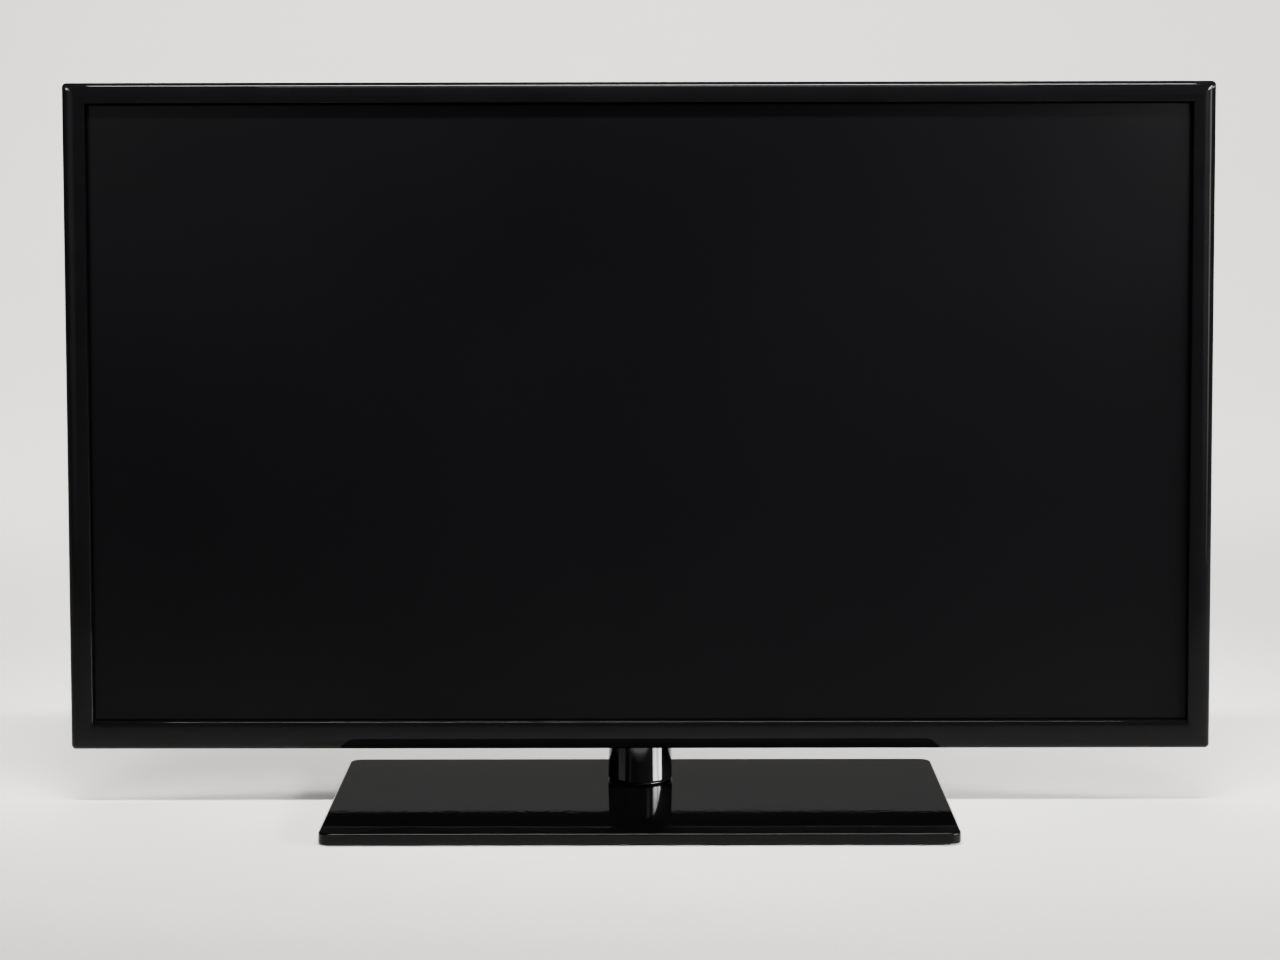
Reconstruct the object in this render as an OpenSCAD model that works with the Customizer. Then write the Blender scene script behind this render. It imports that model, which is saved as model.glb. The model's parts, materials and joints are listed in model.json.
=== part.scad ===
// Flat screen television on a swivelling table stand.
// Millimetres. X runs to the viewer's right, Y away from the viewer, Z up.
// The origin is on the floor, below the middle of the stand's base.

/* [Screen] */
// Width of the lit picture area
active_w = 885.6; // [700:0.1:1100]
// Height of the lit picture area
active_h = 498.2; // [400:0.1:620]
// Black margin seen between the picture and the bezel
black_margin = 1.7; // [0.5:0.1:4]
// Glass beyond the picture on each side
cell_border = 6.2; // [4:0.1:8]
// Thickness of the glass cell with its polarisers
cell_t = 2; // [1:0.1:3]

/* [Bezel] */
// Visible width of the bezel at each side
bezel_side = 18.5; // [16:0.1:30]
// Visible width of the bezel at the top
bezel_top = 16.5; // [15.5:0.1:30]
// Visible width of the bezel at the bottom
bezel_bottom = 23; // [20:0.1:40]
// Depth of the bezel moulding
bezel_depth = 22; // [19:0.5:26]
// How far the front slopes back from the ridge to the screen
bezel_slope = 1; // [0.5:0.1:2]
// Thickness of the lip that holds the screen
bezel_lip = 5; // [4:0.1:6]
// Width of the flat ridge round the outside
bezel_ridge = 7; // [5:0.1:9]
// Wall of the bezel's sides
bezel_wall = 2.5; // [1.5:0.1:3]
// Radius of the outer corners
bezel_corner_r = 3.5; // [2:0.1:8]
// Chamfer of the outer front edge
bezel_chamfer = 2; // [1:0.1:3]

/* [Display module] */
// Foam strip between lip and glass
gasket_t = 0.5; // [0.3:0.1:1]
// Room round the glass in its frame
seat_gap = 0.4; // [0.2:0.1:0.6]
// Wall of the moulded frame round the glass
frame_wall = 2; // [1.5:0.1:2.3]
// Ledge between glass and films
ledge_t = 2; // [1.5:0.1:2.5]
// Thickness of the film stack
films_t = 0.6; // [0.3:0.1:1]
// Thickness of the diffuser plate
diffuser_t = 2; // [1.5:0.1:2.5]
// Sheet thickness of the steel chassis
chassis_t = 1; // [0.6:0.1:1.2]
// Depth of the chassis tray
chassis_depth = 22; // [20:0.5:23]
// Rows of light emitting diodes
led_rows = 5; // [3:1:6]
// Diodes in a row
led_cols = 8; // [6:1:10]
// Radius of a diode's lens
lens_r = 7.5; // [6:0.5:9]
// Height of a diode's lens
lens_h = 6; // [4:0.5:7]
// Width of a diode bar
bar_w = 12; // [10:0.5:16]
// Thickness of a diode bar
bar_t = 1.6; // [1:0.1:2]
// Thickness of the white reflector
reflector_t = 0.5; // [0.3:0.1:0.8]

/* [Rear cover] */
// Depth of the set without its stand
body_depth = 88; // [84:1:100]
// Depth of the straight rim behind the bezel
rim_depth = 12; // [10:0.5:14]
// How far the rim stands in from the bezel
rim_inset = 2; // [1:0.1:2.5]
// Wall of the rear cover
cover_wall = 2.5; // [2:0.1:3]
// Width of a vent slot
vent_w = 3; // [2:0.1:4]
// Height of a vent slot
vent_h = 26; // [16:1:30]
// Distance from vent slot to vent slot
vent_pitch = 9; // [8:0.5:14]
// Vent slots in a row
vent_count = 51; // [20:1:53]
// Distance from floor of the terminal recesses to the bezel's front
recess_floor = 42; // [41:0.5:43]

/* [Wall mount] */
// Hole to hole distance of the square wall-mount pattern
vesa = 200; // [200:100:200]
// Bore for an M8 screw
vesa_bore_r = 4.1; // [3.4:0.1:4.4]
// Depth of the bore
vesa_bore_depth = 25; // [15:1:40]
// Radius of a wall-mount post
post_r = 9; // [7:0.5:10]
// Height of the pattern's centre above the set's bottom edge
vesa_height = 180; // [175:1:200]

/* [Keys] */
// Width of a key
key_w = 8; // [6:0.5:10]
// Height of a key
key_h = 13; // [10:0.5:15]
// Distance from key to key
key_pitch = 22; // [20:0.5:24]
// How far a key stands out of its recess
key_proud = 1.5; // [1.2:0.1:2.5]
// Travel of a key
key_travel = 0.8; // [0.4:0.1:0.8]
// Room round a key in its hole
key_gap = 0.3; // [0.2:0.05:0.5]

/* [Stand] */
// Width of the base
base_w = 495; // [400:1:600]
// Depth of the base
base_d = 240; // [220:1:300]
// Height of the base's top above the floor
base_h = 10; // [9.5:0.5:14]
// Radius of the base's corners
base_corner_r = 10; // [5:0.5:30]
// Gap between the floor and the base's skirt
foot_gap = 1.5; // [1:0.1:2]
// Thickness of the base cover
base_wall = 3; // [2:0.1:4]
// Thickness of the steel weight plate
plate_t = 3; // [2:0.1:3]
// Distance from the base's front edge to the neck's axis
neck_setback = 176; // [160:1:180]
// Radius of the neck at its foot
neck_foot_r = 26.7; // [26:0.1:28]
// Radius of the neck at its top
neck_top_r = 25.2; // [22:0.1:25.5]
// Wall of the neck
neck_wall = 4; // [2.5:0.5:5]
// Rounding of the neck's lower edge
neck_edge_r = 2.5; // [1:0.1:3]
// Gap between the base's top and the set's bottom edge
neck_gap = 35; // [25:1:60]
// Distance from the bezel's front to the neck's axis
neck_depth = 50; // [49.5:0.5:52]
// Radius of the swivel's journal
journal_r = 18; // [14:0.5:18]
// Radial play of the journal in the weight plate
journal_play = 0.05; // [0.02:0.01:0.1]
// Thickness of a swivel washer
washer_t = 0.4; // [0.3:0.1:0.5]
// Thickness of the swivel's retaining disc
retainer_t = 1.3; // [1:0.1:1.4]

/* [Hidden] */
$fn = 48;
// A cut starts and ends this far outside what it cuts
eps = 1;
gloss_black = [0.03, 0.03, 0.035];
matte_black = [0.09, 0.09, 0.095];
steel = [0.72, 0.73, 0.74];
board_green = [0.10, 0.34, 0.18];
dark_part = [0.14, 0.14, 0.15];
white_part = [0.93, 0.93, 0.92];
glass_black = [0.015, 0.016, 0.02];
film_white = [0.95, 0.96, 0.97];
lens_clear = [0.9, 0.93, 0.95, 0.7];
lens_red = [0.12, 0.02, 0.02];
cone_grey = [0.25, 0.25, 0.26];
brass = [0.80, 0.62, 0.20];
aluminium = [0.78, 0.78, 0.80];

// Outline of the set
opening_w = active_w + 2 * black_margin;
opening_h = active_h + 2 * black_margin;
body_w = opening_w + 2 * bezel_side;
body_h = opening_h + bezel_top + bezel_bottom;
neck_y = neck_setback - base_d / 2;
front_y = neck_y - neck_depth;
bottom_z = base_h + neck_gap;
mid_z = bottom_z + body_h / 2;
screen_z = bottom_z + bezel_bottom + opening_h / 2;

// Depths behind the bezel's front, from front to back
lip_back = bezel_slope + bezel_lip;
cell_front = lip_back + gasket_t;
cell_back = cell_front + cell_t;
films_front = cell_back + ledge_t;
diffuser_front = films_front + films_t;
flange_front = diffuser_front + diffuser_t;
chassis_back = flange_front + chassis_depth;
floor_front = chassis_back - chassis_t;
bars_front = floor_front - bar_t;
reflector_front = bars_front - reflector_t;
rim_back = bezel_depth + rim_depth;
back_inner = body_depth - cover_wall;

// Display module
cell_w = active_w + 2 * cell_border;
cell_h = active_h + 2 * cell_border;
seat_w = cell_w + 2 * seat_gap;
seat_h = cell_h + 2 * seat_gap;
frame_w = seat_w + 2 * frame_wall;
frame_h = seat_h + 2 * frame_wall;
frame_skirt = 2;
frame_back = flange_front + chassis_t + frame_skirt;
film_trim = 0.5;
lens_hole_gap = 1;
tray_inset = 2;
tray_w = active_w - 2 * tray_inset;
tray_h = active_h - 2 * tray_inset;
tray_in_w = tray_w - 2 * chassis_t;
tray_in_h = tray_h - 2 * chassis_t;
led_pitch_x = tray_w / led_cols;
led_pitch_z = tray_h / led_rows;
led_spots = [for (i = [0 : led_cols - 1], j = [0 : led_rows - 1])
  [(i - (led_cols - 1) / 2) * led_pitch_x, screen_z + (j - (led_rows - 1) / 2) * led_pitch_z]];
diffuser_post_r = 4;
diffuser_post_tip_r = 1.5;
diffuser_post_gap = 0.3;
diffuser_post_spots = [for (i = [-2, 0, 2], j = [-0.5, 0.5]) [i * led_pitch_x, screen_z + j * led_pitch_z]];

// Screws that close the set: row of spots round the rim
rear_screw_r = 1.4;
rear_screw_head_r = 2.7;
rear_screw_head_h = 1.8;
rear_screw_grip = 12;
rear_screw_tip = 1;
screw_play = 0.05;
rim_boss_r = 3.2;
rim_w = body_w - 2 * rim_inset;
rim_h = body_h - 2 * rim_inset;
boss_merge = 0.4;
boss_inset = bezel_wall + rim_boss_r - boss_merge;
rim_screw_x = body_w / 2 - boss_inset;
rim_screw_top_z = bottom_z + body_h - boss_inset;
rim_screw_bottom_z = bottom_z + boss_inset;
top_screw_pitch = body_w * 0.205;
side_screw_pitch = body_h * 0.33;
rear_screw_spots = concat(
  [for (i = [-2 : 2]) [i * top_screw_pitch, rim_screw_top_z]],
  [for (side = [-1, 1], j = [-1 : 1]) [side * rim_screw_x, mid_z + j * side_screw_pitch]],
  [for (side = [-1, 1], k = [0.5, 1]) [side * k * 2 * top_screw_pitch, rim_screw_bottom_z]]
);

// Bulge of the rear cover: inset from the outline, and share of the depth behind the rim
bulge_rise = body_depth - rim_back;
bulge_sides = [[11, 0], [23, 0.18], [73, 0.52], [163, 0.82], [223, 1]];
bulge_top = [[11, 0], [20, 0.18], [92, 0.52], [212, 1]];
bulge_bottom = [[12, 0], [17, 0.9], [23, 1]];

// Vent slots in the bulge's upper slope
vent_rows = 3;
vent_inset = 60;
vent_row_pitch = vent_h * 1.5;

// Wall-mount posts
vesa_hole_gap = 1.5;
vesa_spots = [for (i = [-1, 1], j = [-1, 1]) [i * vesa / 2, bottom_z + vesa_height + j * vesa / 2]];

// Boards on the back of the chassis
board_t = 1.6;
standoff_h = 8;
tcon_standoff_h = 4;
standoff_r = 3;
board_screw_r = 1.4;
board_screw_head_r = 2.6;
board_screw_head_h = 1.8;
board_hole_gap = 0.2;
standoff_floor = 1;
screw_tip_gap = 0.2;
board_edge = 5;
board_front = chassis_back + standoff_h;
board_back = board_front + board_t;
tcon_front = chassis_back + tcon_standoff_h;
tcon_back = tcon_front + board_t;
board_clear = 5;
board_height = 205;
board_z = bottom_z + board_height;
board_h = 190;
// The main board is as wide as its row of sockets, given by their distances from edge to edge
antenna_inset = 20;
antenna_lan_pitch = 25;
lan_optical_pitch = 21;
optical_av_pitch = 16;
av_pitch = 13;
av_count = 5;
av_end_inset = 16;
av_row = (av_count - 1) * av_pitch;
main_w = antenna_inset + antenna_lan_pitch + lan_optical_pitch + optical_av_pitch + av_row + av_end_inset;
power_w = 176;
main_x = -(vesa / 2 + post_r + board_clear + main_w / 2);
power_x = vesa / 2 + post_r + board_clear + power_w / 2;
tcon_w = 150;
tcon_h = 65;
tcon_height = 358;
tcon_z = bottom_z + tcon_height;
main_edge_x = main_x - main_w / 2;
board_edge_z = board_z - board_h / 2;
board_corners = [
  [main_x, board_z, main_w, board_h, standoff_h],
  [power_x, board_z, power_w, board_h, standoff_h],
  [0, tcon_z, tcon_w, tcon_h, tcon_standoff_h]
];
standoff_spots = [for (b = board_corners, i = [-1, 1], j = [-1, 1])
  [b[0] + i * (b[2] / 2 - board_edge), b[1] + j * (b[3] / 2 - board_edge), b[4]]];

// Parts on the boards as [offset in X, offset in Z, width, height, thickness]
main_chip_list = [
  [40, -54, 14, 9, 1.2], [40, 34, 14, 9, 1.2], [20, 72, 24, 12, 1.2],
  [-30, -66, 8, 8, 1], [-10, -66, 8, 8, 1], [10, -66, 8, 8, 1], [30, -66, 8, 8, 1]
];
transformer_list = [[18, 30, 44, 40, 20], [-36, 40, 30, 28, 18]];
// Capacitors as [offset in X, offset in Z, radius, length]
capacitor_list = [
  [20, -48, 11, 25], [50, -48, 11, 25], [-60, 78, 6, 16], [-42, 78, 6, 16], [-24, 78, 6, 16]
];
main_sink_x = main_x + 6;
main_sink_z = board_z - 10;
main_sink_size = 44;
main_sink_h = 12;
power_sink_x = power_x + 5;
power_sink_z = board_z - 4;
power_sink_spread = 58;
power_sink_len = 60;
power_sink_h = 22;
power_sink_t = 3;
power_sink_fold = 12;
power_sink_fold_t = 2;

// Recesses of the rear cover where plugs go in
port_reach = 8;
port_gap = 0.3;
port_len = 17;
side_wall_x = main_edge_x - port_reach;
low_wall_z = board_edge_z - port_reach;
side_recess_h = 160;
low_recess_h = 66;
low_recess_margin = 2;
low_recess_w = main_w - 2 * low_recess_margin;
inlet_w = 24;
inlet_t = 16;
inlet_len = 26;
inlet_proud = 14;
inlet_offset = 38;
inlet_x = power_x - power_w / 2 + inlet_offset;
inlet_recess_w = 60;

// Ports as [offset along the wall, width, height above the board]
hdmi_at = [55, 30];
usb_at = [2, -20];
headphone_at = -48;
hdmi_size = [15, 6];
usb_size = [14.5, 7];
jack_size = [10, 8];
lan_size = [16, 13.5];
optical_size = [10, 10];
av_size = [11, 12];
av_barrel_r = 4.15;
av_barrel_len = 9;
av_hole_r = 1.6;
tuner_size = [16, 12];
antenna_r = 4.75;
antenna_hole_r = 1.2;
antenna_len = 9;
port_skin = 0.6;
port_back_wall = 3;
port_tongue_setback = 1;
hdmi_tongue = [10.5, 1.2];
usb_tongue = [11, 1.8];
headphone_hole_r = 1.8;
tuner_extra = 20;
tuner_len = port_len + tuner_extra;
antenna_hole_floor = 4;
lan_extra = 2;
lan_len = port_len + lan_extra;
lan_mouth = [11.8, 9, 13];
optical_mouth = [7.2, 2];
av_hole_floor = 8;
antenna_x = main_x - main_w / 2 + antenna_inset;
lan_x = antenna_x + antenna_lan_pitch;
optical_x = lan_x + lan_optical_pitch;
av_x = optical_x + optical_av_pitch;

// Key row
key_names = ["power", "source", "menu", "volume_up", "volume_down", "channel_up", "channel_down"];
key_count = len(key_names);
key_inset = 48;
key_height = 235;
key_x = body_w / 2 - key_inset;
key_z = bottom_z + key_height;
key_recess_w = 32;
key_recess_margin = 7;
key_recess_h = key_pitch * key_count + 2 * key_recess_margin;
key_floor = 46.5;
key_floor_inner = key_floor - cover_wall;
key_flange = 1;
key_flange_t = 1.8;
key_rest_gap = 0.2;
key_foot = key_floor_inner - key_rest_gap - key_flange_t;
switch_w = 6;
switch_gap = 0.2;
switch_plunger = 1;
switch_top = key_foot - key_travel - switch_gap;
key_post_r = 3;
key_post_gap = 1;
key_post_z = (key_pitch * (key_count - 1) + key_h) / 2 + key_flange + key_post_gap + key_post_r;
key_board_w = 22;
key_board_h = 2 * (key_post_z + key_post_r + key_post_gap);
key_board_gap = 0.4;
key_board_front = chassis_back + key_board_gap;
key_board_back = key_board_front + board_t;

// Speakers
speaker_w = 120;
speaker_h = 42;
speaker_d = 18;
speaker_x = 335;
speaker_height = 41;
speaker_z = bottom_z + speaker_height;
cone_rx = 24;
cone_t = 3;
cone_edge = 2;
cone_gap = 0.5;
grille_slot_w = 2.5;
grille_slot_pitch = 6;
grille_slots = 15;
grille_height = 14;
grille_z = bottom_z + grille_height;
grille_margin = 3;
grille_cut_h = 2 * (cover_wall + grille_margin);

// Stand fixing inside the set
bracket_w = 170;
bracket_h = 107;
bracket_t = 3;
bracket_flange = 12;
bracket_height = 27;
bracket_z0 = bottom_z + bracket_height;
tongue_w = 120;
tongue_t = 8;
tongue_front = chassis_back + bracket_t;
tongue_back = tongue_front + tongue_t;
tongue_z0 = bottom_z + bulge_bottom[1][0] + cover_wall;
tongue_rise = 112;
tongue_z1 = bottom_z + tongue_rise;
stand_screw_r = 2.5;
stand_screw_head_r = 4.5;
stand_screw_head_h = 3;
stand_screw_play = 0.1;
stand_screw_tip = 0.5;
access_r = 6;
stand_screw_x = 40;
stand_screw_low = 45;
stand_screw_high = 95;
stand_screw_spots = [for (i = [-1, 1], rise = [stand_screw_low, stand_screw_high])
  [i * stand_screw_x, bottom_z + rise]];
core_r = 16;
core_top = tongue_z0 + tongue_t / 2;
neck_hole_gap = 0.8;
neck_entry = 14;
neck_top_z = bottom_z + neck_entry;

// Swivel stack
neck_z0 = base_h + washer_t;
neck_floor_top = neck_z0 + neck_wall;
plate_top = base_h - base_wall;
plate_bottom = plate_top - plate_t;
retainer_top = plate_bottom - washer_t;
retainer_bottom = retainer_top - retainer_t;
cover_hole_gap = 0.6;
washer_r = journal_r + 5.5;
swivel_screw_r = 2;
swivel_screw_head_r = 3.4;
swivel_screw_ring = 10;
swivel_screw_spots = [for (a = [45 : 90 : 315]) [swivel_screw_ring * cos(a), swivel_screw_ring * sin(a)]];
swivel_screw_top = neck_floor_top + 14;
plate_gap = 0.5;
plate_inset = base_wall + plate_gap;
foot_r = 9;
base_screw_r = 1.5;
base_screw_head_r = 3.2;
base_screw_head_h = 1.6;
base_screw_bite = 2;
least_corner_r = 1;
foot_inset = 30;
foot_swivel_gap = 30;
foot_x = base_w / 2 - foot_inset;
inner_foot_x = washer_r + foot_r + foot_swivel_gap;
foot_spots = [for (x = [-foot_x, -inner_foot_x, inner_foot_x, foot_x], j = [-1, 1])
  [x, j * (base_d / 2 - foot_inset)]];
base_screw_inset = 20;
base_screw_spots = [for (i = [-1, -0.4, 0.4, 1], j = [-1, 1])
  [i * (base_w / 2 - base_screw_inset), j * (base_d / 2 - base_screw_inset)]];

// Remote receiver
remote_inset = 52;
remote_x = body_w / 2 - remote_inset;
remote_z = bottom_z + bezel_bottom * 0.45;
remote_r = 2.5;
remote_play = 0.1;
remote_tail = 2;
remote_board_w = 40;
remote_board_h = 10;
remote_sink = 0.2;
remote_slope = bezel_slope / (bezel_bottom - bezel_ridge);
remote_front = remote_slope * (remote_z - bottom_z - bezel_ridge) + remote_sink;

// Extrudes a drawing in X and Z from one depth behind the bezel's front to another
module deep(from, to) {
  translate([0, front_y + to, 0]) rotate([90, 0, 0]) linear_extrude(to - from) children();
}

module plain_rect(w, h, z) translate([0, z]) square([w, h], center = true);

module round_rect(w, h, r) {
  square([w - 2 * r, h], center = true);
  square([w, h - 2 * r], center = true);
  for (i = [-1, 1], j = [-1, 1]) translate([i * (w / 2 - r), j * (h / 2 - r)]) circle(r);
}

// A rod of round section along the depth
module rod(x, z, r, from, to) {
  translate([x, front_y + to, z]) rotate([90, 0, 0]) cylinder(r = r, h = to - from);
}

// A box given by its middle in X and Z and by its two depths
module block(x, z, w, h, from, to) {
  translate([x - w / 2, front_y + from, z - h / 2]) cube([w, to - from, h]);
}

// Solid between two rectangles at two depths, with plane sides
module funnel(w0, h0, z0, d0, w1, h1, z1, d1) {
  reach = max(w0, w1);
  intersection() {
    translate([0, 0, bottom_z - reach]) linear_extrude(2 * reach + body_h)
      polygon([[-w0 / 2, front_y + d0], [w0 / 2, front_y + d0],
        [w1 / 2, front_y + d1], [-w1 / 2, front_y + d1]]);
    translate([-reach, 0, 0]) rotate([90, 0, 90]) linear_extrude(2 * reach)
      polygon([[front_y + d0, z0 - h0 / 2], [front_y + d1, z1 - h1 / 2],
        [front_y + d1, z1 + h1 / 2], [front_y + d0, z0 + h0 / 2]]);
  }
}

module bezel_block() {
  chamfer_cut = 2 * (bezel_chamfer + eps);
  chamfer_run = 2 * (bezel_depth + 2 * eps);
  intersection() {
    deep(0, bezel_depth) translate([0, mid_z]) round_rect(body_w, body_h, bezel_corner_r);
    funnel(body_w - chamfer_cut, body_h - chamfer_cut, mid_z, -eps,
      body_w - chamfer_cut + chamfer_run, body_h - chamfer_cut + chamfer_run, mid_z, bezel_depth + eps);
  }
}

module front_bezel() {
  funnel_grow = (bezel_slope + eps) / bezel_slope;
  side_run = bezel_side - bezel_ridge;
  top_run = bezel_top - bezel_ridge;
  bottom_run = bezel_bottom - bezel_ridge;
  color(gloss_black) difference() {
    union() {
      difference() {
        bezel_block();
        deep(lip_back, bezel_depth + eps) plain_rect(body_w - 2 * bezel_wall, body_h - 2 * bezel_wall, mid_z);
      }
      for (s = rear_screw_spots) rod(s[0], s[1], rim_boss_r, lip_back, bezel_depth);
    }
    funnel(opening_w + 2 * side_run * funnel_grow, opening_h + (top_run + bottom_run) * funnel_grow,
      screen_z + (top_run - bottom_run) * funnel_grow / 2, -eps, opening_w, opening_h, screen_z, bezel_slope);
    deep(-eps, lip_back + eps) plain_rect(opening_w, opening_h, screen_z);
    for (s = rear_screw_spots) {
      rod(s[0], s[1], rear_screw_r + screw_play, bezel_depth - rear_screw_grip, bezel_depth + eps);
    }
    rod(remote_x, remote_z, remote_r + remote_play, -eps, lip_back + eps);
  }
}

module screen() {
  color(glass_black) deep(cell_front, cell_back) plain_rect(cell_w, cell_h, screen_z);
}

module screen_gasket() {
  color(dark_part) deep(lip_back, cell_front) difference() {
    plain_rect(cell_w, cell_h, screen_z);
    plain_rect(opening_w + 2 * film_trim, opening_h + 2 * film_trim, screen_z);
  }
}

module mid_frame() {
  color(dark_part) difference() {
    deep(cell_front, frame_back) plain_rect(frame_w, frame_h, screen_z);
    deep(cell_front - eps, cell_back) plain_rect(seat_w, seat_h, screen_z);
    deep(cell_back - eps, frame_back + eps) plain_rect(opening_w, opening_h, screen_z);
    deep(films_front, frame_back + eps) plain_rect(seat_w, seat_h, screen_z);
  }
}

module optical_films() {
  color(film_white)
    deep(films_front, diffuser_front) plain_rect(cell_w - 2 * film_trim, cell_h - 2 * film_trim, screen_z);
}

module diffuser_plate() {
  color(white_part)
    deep(diffuser_front, flange_front) plain_rect(cell_w - 2 * film_trim, cell_h - 2 * film_trim, screen_z);
}

module back_chassis() {
  color(steel) {
    difference() {
      union() {
        deep(flange_front, flange_front + chassis_t) plain_rect(cell_w, cell_h, screen_z);
        deep(flange_front, chassis_back) plain_rect(tray_w, tray_h, screen_z);
      }
      deep(flange_front - eps, floor_front) plain_rect(tray_in_w, tray_in_h, screen_z);
    }
  }
}

module led_bars() {
  color(white_part) for (j = [0 : led_rows - 1]) {
    z = screen_z + (j - (led_rows - 1) / 2) * led_pitch_z;
    block(0, z, tray_in_w - led_pitch_x / 2, bar_w, bars_front, floor_front);
  }
}

module led_lenses() {
  rim = lens_h / 3;
  dome = [for (a = [0 : 15 : 90]) [lens_r * cos(a), rim + (lens_h - rim) * sin(a)]];
  color(lens_clear) for (s = led_spots) {
    translate([s[0], front_y + bars_front, s[1]]) rotate([90, 0, 0]) rotate_extrude()
      polygon(concat([[0, 0], [lens_r, 0]], dome));
  }
}

module reflector_sheet() {
  color(white_part) deep(reflector_front, bars_front) difference() {
    plain_rect(tray_in_w - 2 * film_trim, tray_in_h - 2 * film_trim, screen_z);
    for (s = led_spots) translate(s) circle(lens_r + lens_hole_gap);
  }
}

module diffuser_posts() {
  post_h = reflector_front - flange_front - diffuser_post_gap;
  color(white_part) for (s = diffuser_post_spots) {
    translate([s[0], front_y + reflector_front, s[1]]) rotate([90, 0, 0])
      cylinder(r1 = diffuser_post_r, r2 = diffuser_post_tip_r, h = post_h);
  }
}

// Outline of the bulge in X and depth, or the hollow inside it when shrunk by a wall
function side_points(shrink) = [for (p = bulge_sides)
  [body_w / 2 - p[0] - shrink, front_y + rim_back + p[1] * bulge_rise - shrink]];

module bulge(shrink, start) {
  right = side_points(shrink);
  left = [for (i = [len(right) - 1 : -1 : 0]) [-right[i][0], right[i][1]]];
  top = [for (p = bulge_top)
    [front_y + rim_back + p[1] * bulge_rise - shrink, bottom_z + body_h - p[0] - shrink]];
  low = [for (i = [len(bulge_bottom) - 1 : -1 : 0])
    [front_y + rim_back + bulge_bottom[i][1] * bulge_rise - shrink, bottom_z + bulge_bottom[i][0] + shrink]];
  intersection() {
    translate([0, 0, bottom_z]) linear_extrude(body_h) polygon(concat(
      [[right[0][0], front_y + start]], right, left, [[-right[0][0], front_y + start]]));
    translate([-body_w / 2, 0, 0]) rotate([90, 0, 90]) linear_extrude(body_w) polygon(concat(
      [[front_y + start, top[0][1]]], top, low, [[front_y + start, low[len(low) - 1][1]]]));
  }
}

module cover_outer() {
  deep(bezel_depth, rim_back) translate([0, mid_z]) round_rect(rim_w, rim_h, bezel_corner_r);
  bulge(0, bezel_depth);
}

module cover_hollow() {
  deep(bezel_depth - eps, rim_back - cover_wall)
    plain_rect(rim_w - 2 * cover_wall, rim_h - 2 * cover_wall, mid_z);
  bulge(cover_wall, bezel_depth - eps);
}

// Recesses for plugs and keys, grown by a wall where their own walls are wanted
module recesses(grow) {
  side_w = body_w / 2 + side_wall_x;
  far = body_depth + eps;
  both = 2 * grow;
  floor = recess_floor - grow;
  low_z = low_wall_z - low_recess_h / 2;
  block(side_wall_x + grow / 2 - side_w / 2, board_z, side_w + grow, side_recess_h + both, floor, far);
  block(main_x, low_z, low_recess_w + both, low_recess_h + both, floor, far);
  block(inlet_x, low_z, inlet_recess_w + both, low_recess_h + both, floor, far);
  block(key_x, key_z, key_recess_w + both, key_recess_h + both, key_floor - grow, far);
}

// Places a drawing's box on the wall that faces the side, or on the wall that faces down
module side_port(at, size, grow, len) {
  translate([side_wall_x - grow, front_y + board_back - grow, board_z + at - size[0] / 2 - grow])
    cube([len + grow, size[1] + 2 * grow, size[0] + 2 * grow]);
}

module low_port(x, size, grow, len) {
  translate([x - size[0] / 2 - grow, front_y + board_back - grow, low_wall_z - grow])
    cube([size[0] + 2 * grow, size[1] + 2 * grow, len + grow]);
}

module port_holes() {
  for (at = hdmi_at) side_port(at, hdmi_size, port_gap, port_len);
  for (at = usb_at) side_port(at, usb_size, port_gap, port_len);
  side_port(headphone_at, jack_size, port_gap, port_len);
  low_port(antenna_x, tuner_size, port_gap, port_len);
  low_port(lan_x, lan_size, port_gap, port_len);
  low_port(optical_x, optical_size, port_gap, port_len);
  for (i = [0 : av_count - 1]) low_port(av_x + i * av_pitch, av_size, port_gap, port_len);
  low_port(inlet_x, [inlet_w, inlet_t], port_gap, inlet_len);
}

module vents() {
  deep(recess_floor, body_depth + eps) for (j = [0 : vent_rows - 1], i = [0 : vent_count - 1]) {
    z = bottom_z + body_h - vent_inset - j * vent_row_pitch;
    translate([(i - (vent_count - 1) / 2) * vent_pitch, z]) square([vent_w, vent_h], center = true);
  }
}

module speaker_grilles() {
  for (side = [-1, 1], i = [0 : grille_slots - 1]) {
    x = side * speaker_x + (i - (grille_slots - 1) / 2) * grille_slot_pitch;
    block(x, grille_z, grille_slot_w, grille_cut_h,
      chassis_back + grille_margin, chassis_back + speaker_d - grille_margin);
  }
}

module rear_cover() {
  color(matte_black) difference() {
    union() {
      difference() {
        cover_outer();
        difference() {
          cover_hollow();
          recesses(cover_wall);
        }
      }
      intersection() {
        cover_outer();
        for (s = rear_screw_spots) rod(s[0], s[1], rim_boss_r, bezel_depth, rim_back);
      }
      for (j = [-1, 1]) rod(key_x, key_z + j * key_post_z, key_post_r, key_board_back, key_floor_inner + eps);
    }
    recesses(0);
    port_holes();
    vents();
    speaker_grilles();
    for (s = rear_screw_spots) rod(s[0], s[1], rear_screw_r + screw_play, bezel_depth - eps, rim_back + eps);
    for (s = vesa_spots) rod(s[0], s[1], vesa_bore_r + vesa_hole_gap, back_inner - eps, body_depth + eps);
    for (s = stand_screw_spots) rod(s[0], s[1], access_r, back_inner - eps, body_depth + eps);
    for (i = [0 : key_count - 1]) {
      hole = [key_w + 2 * key_gap, key_h + 2 * key_gap];
      block(key_x, key_row_z(i), hole[0], hole[1], key_floor_inner - eps, key_floor + eps);
    }
    translate([0, neck_y, bottom_z - eps])
      cylinder(r = neck_top_r + neck_hole_gap, h = core_top - bottom_z + 2 * eps);
  }
}

function key_row_z(i) = key_z + ((key_count - 1) / 2 - i) * key_pitch;

module key(i) {
  color(gloss_black) {
    z = key_row_z(i);
    block(key_x, z, key_w, key_h, key_foot, key_floor + key_proud);
    block(key_x, z, key_w + 2 * key_flange, key_h + 2 * key_flange, key_foot, key_foot + key_flange_t);
  }
}

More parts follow.
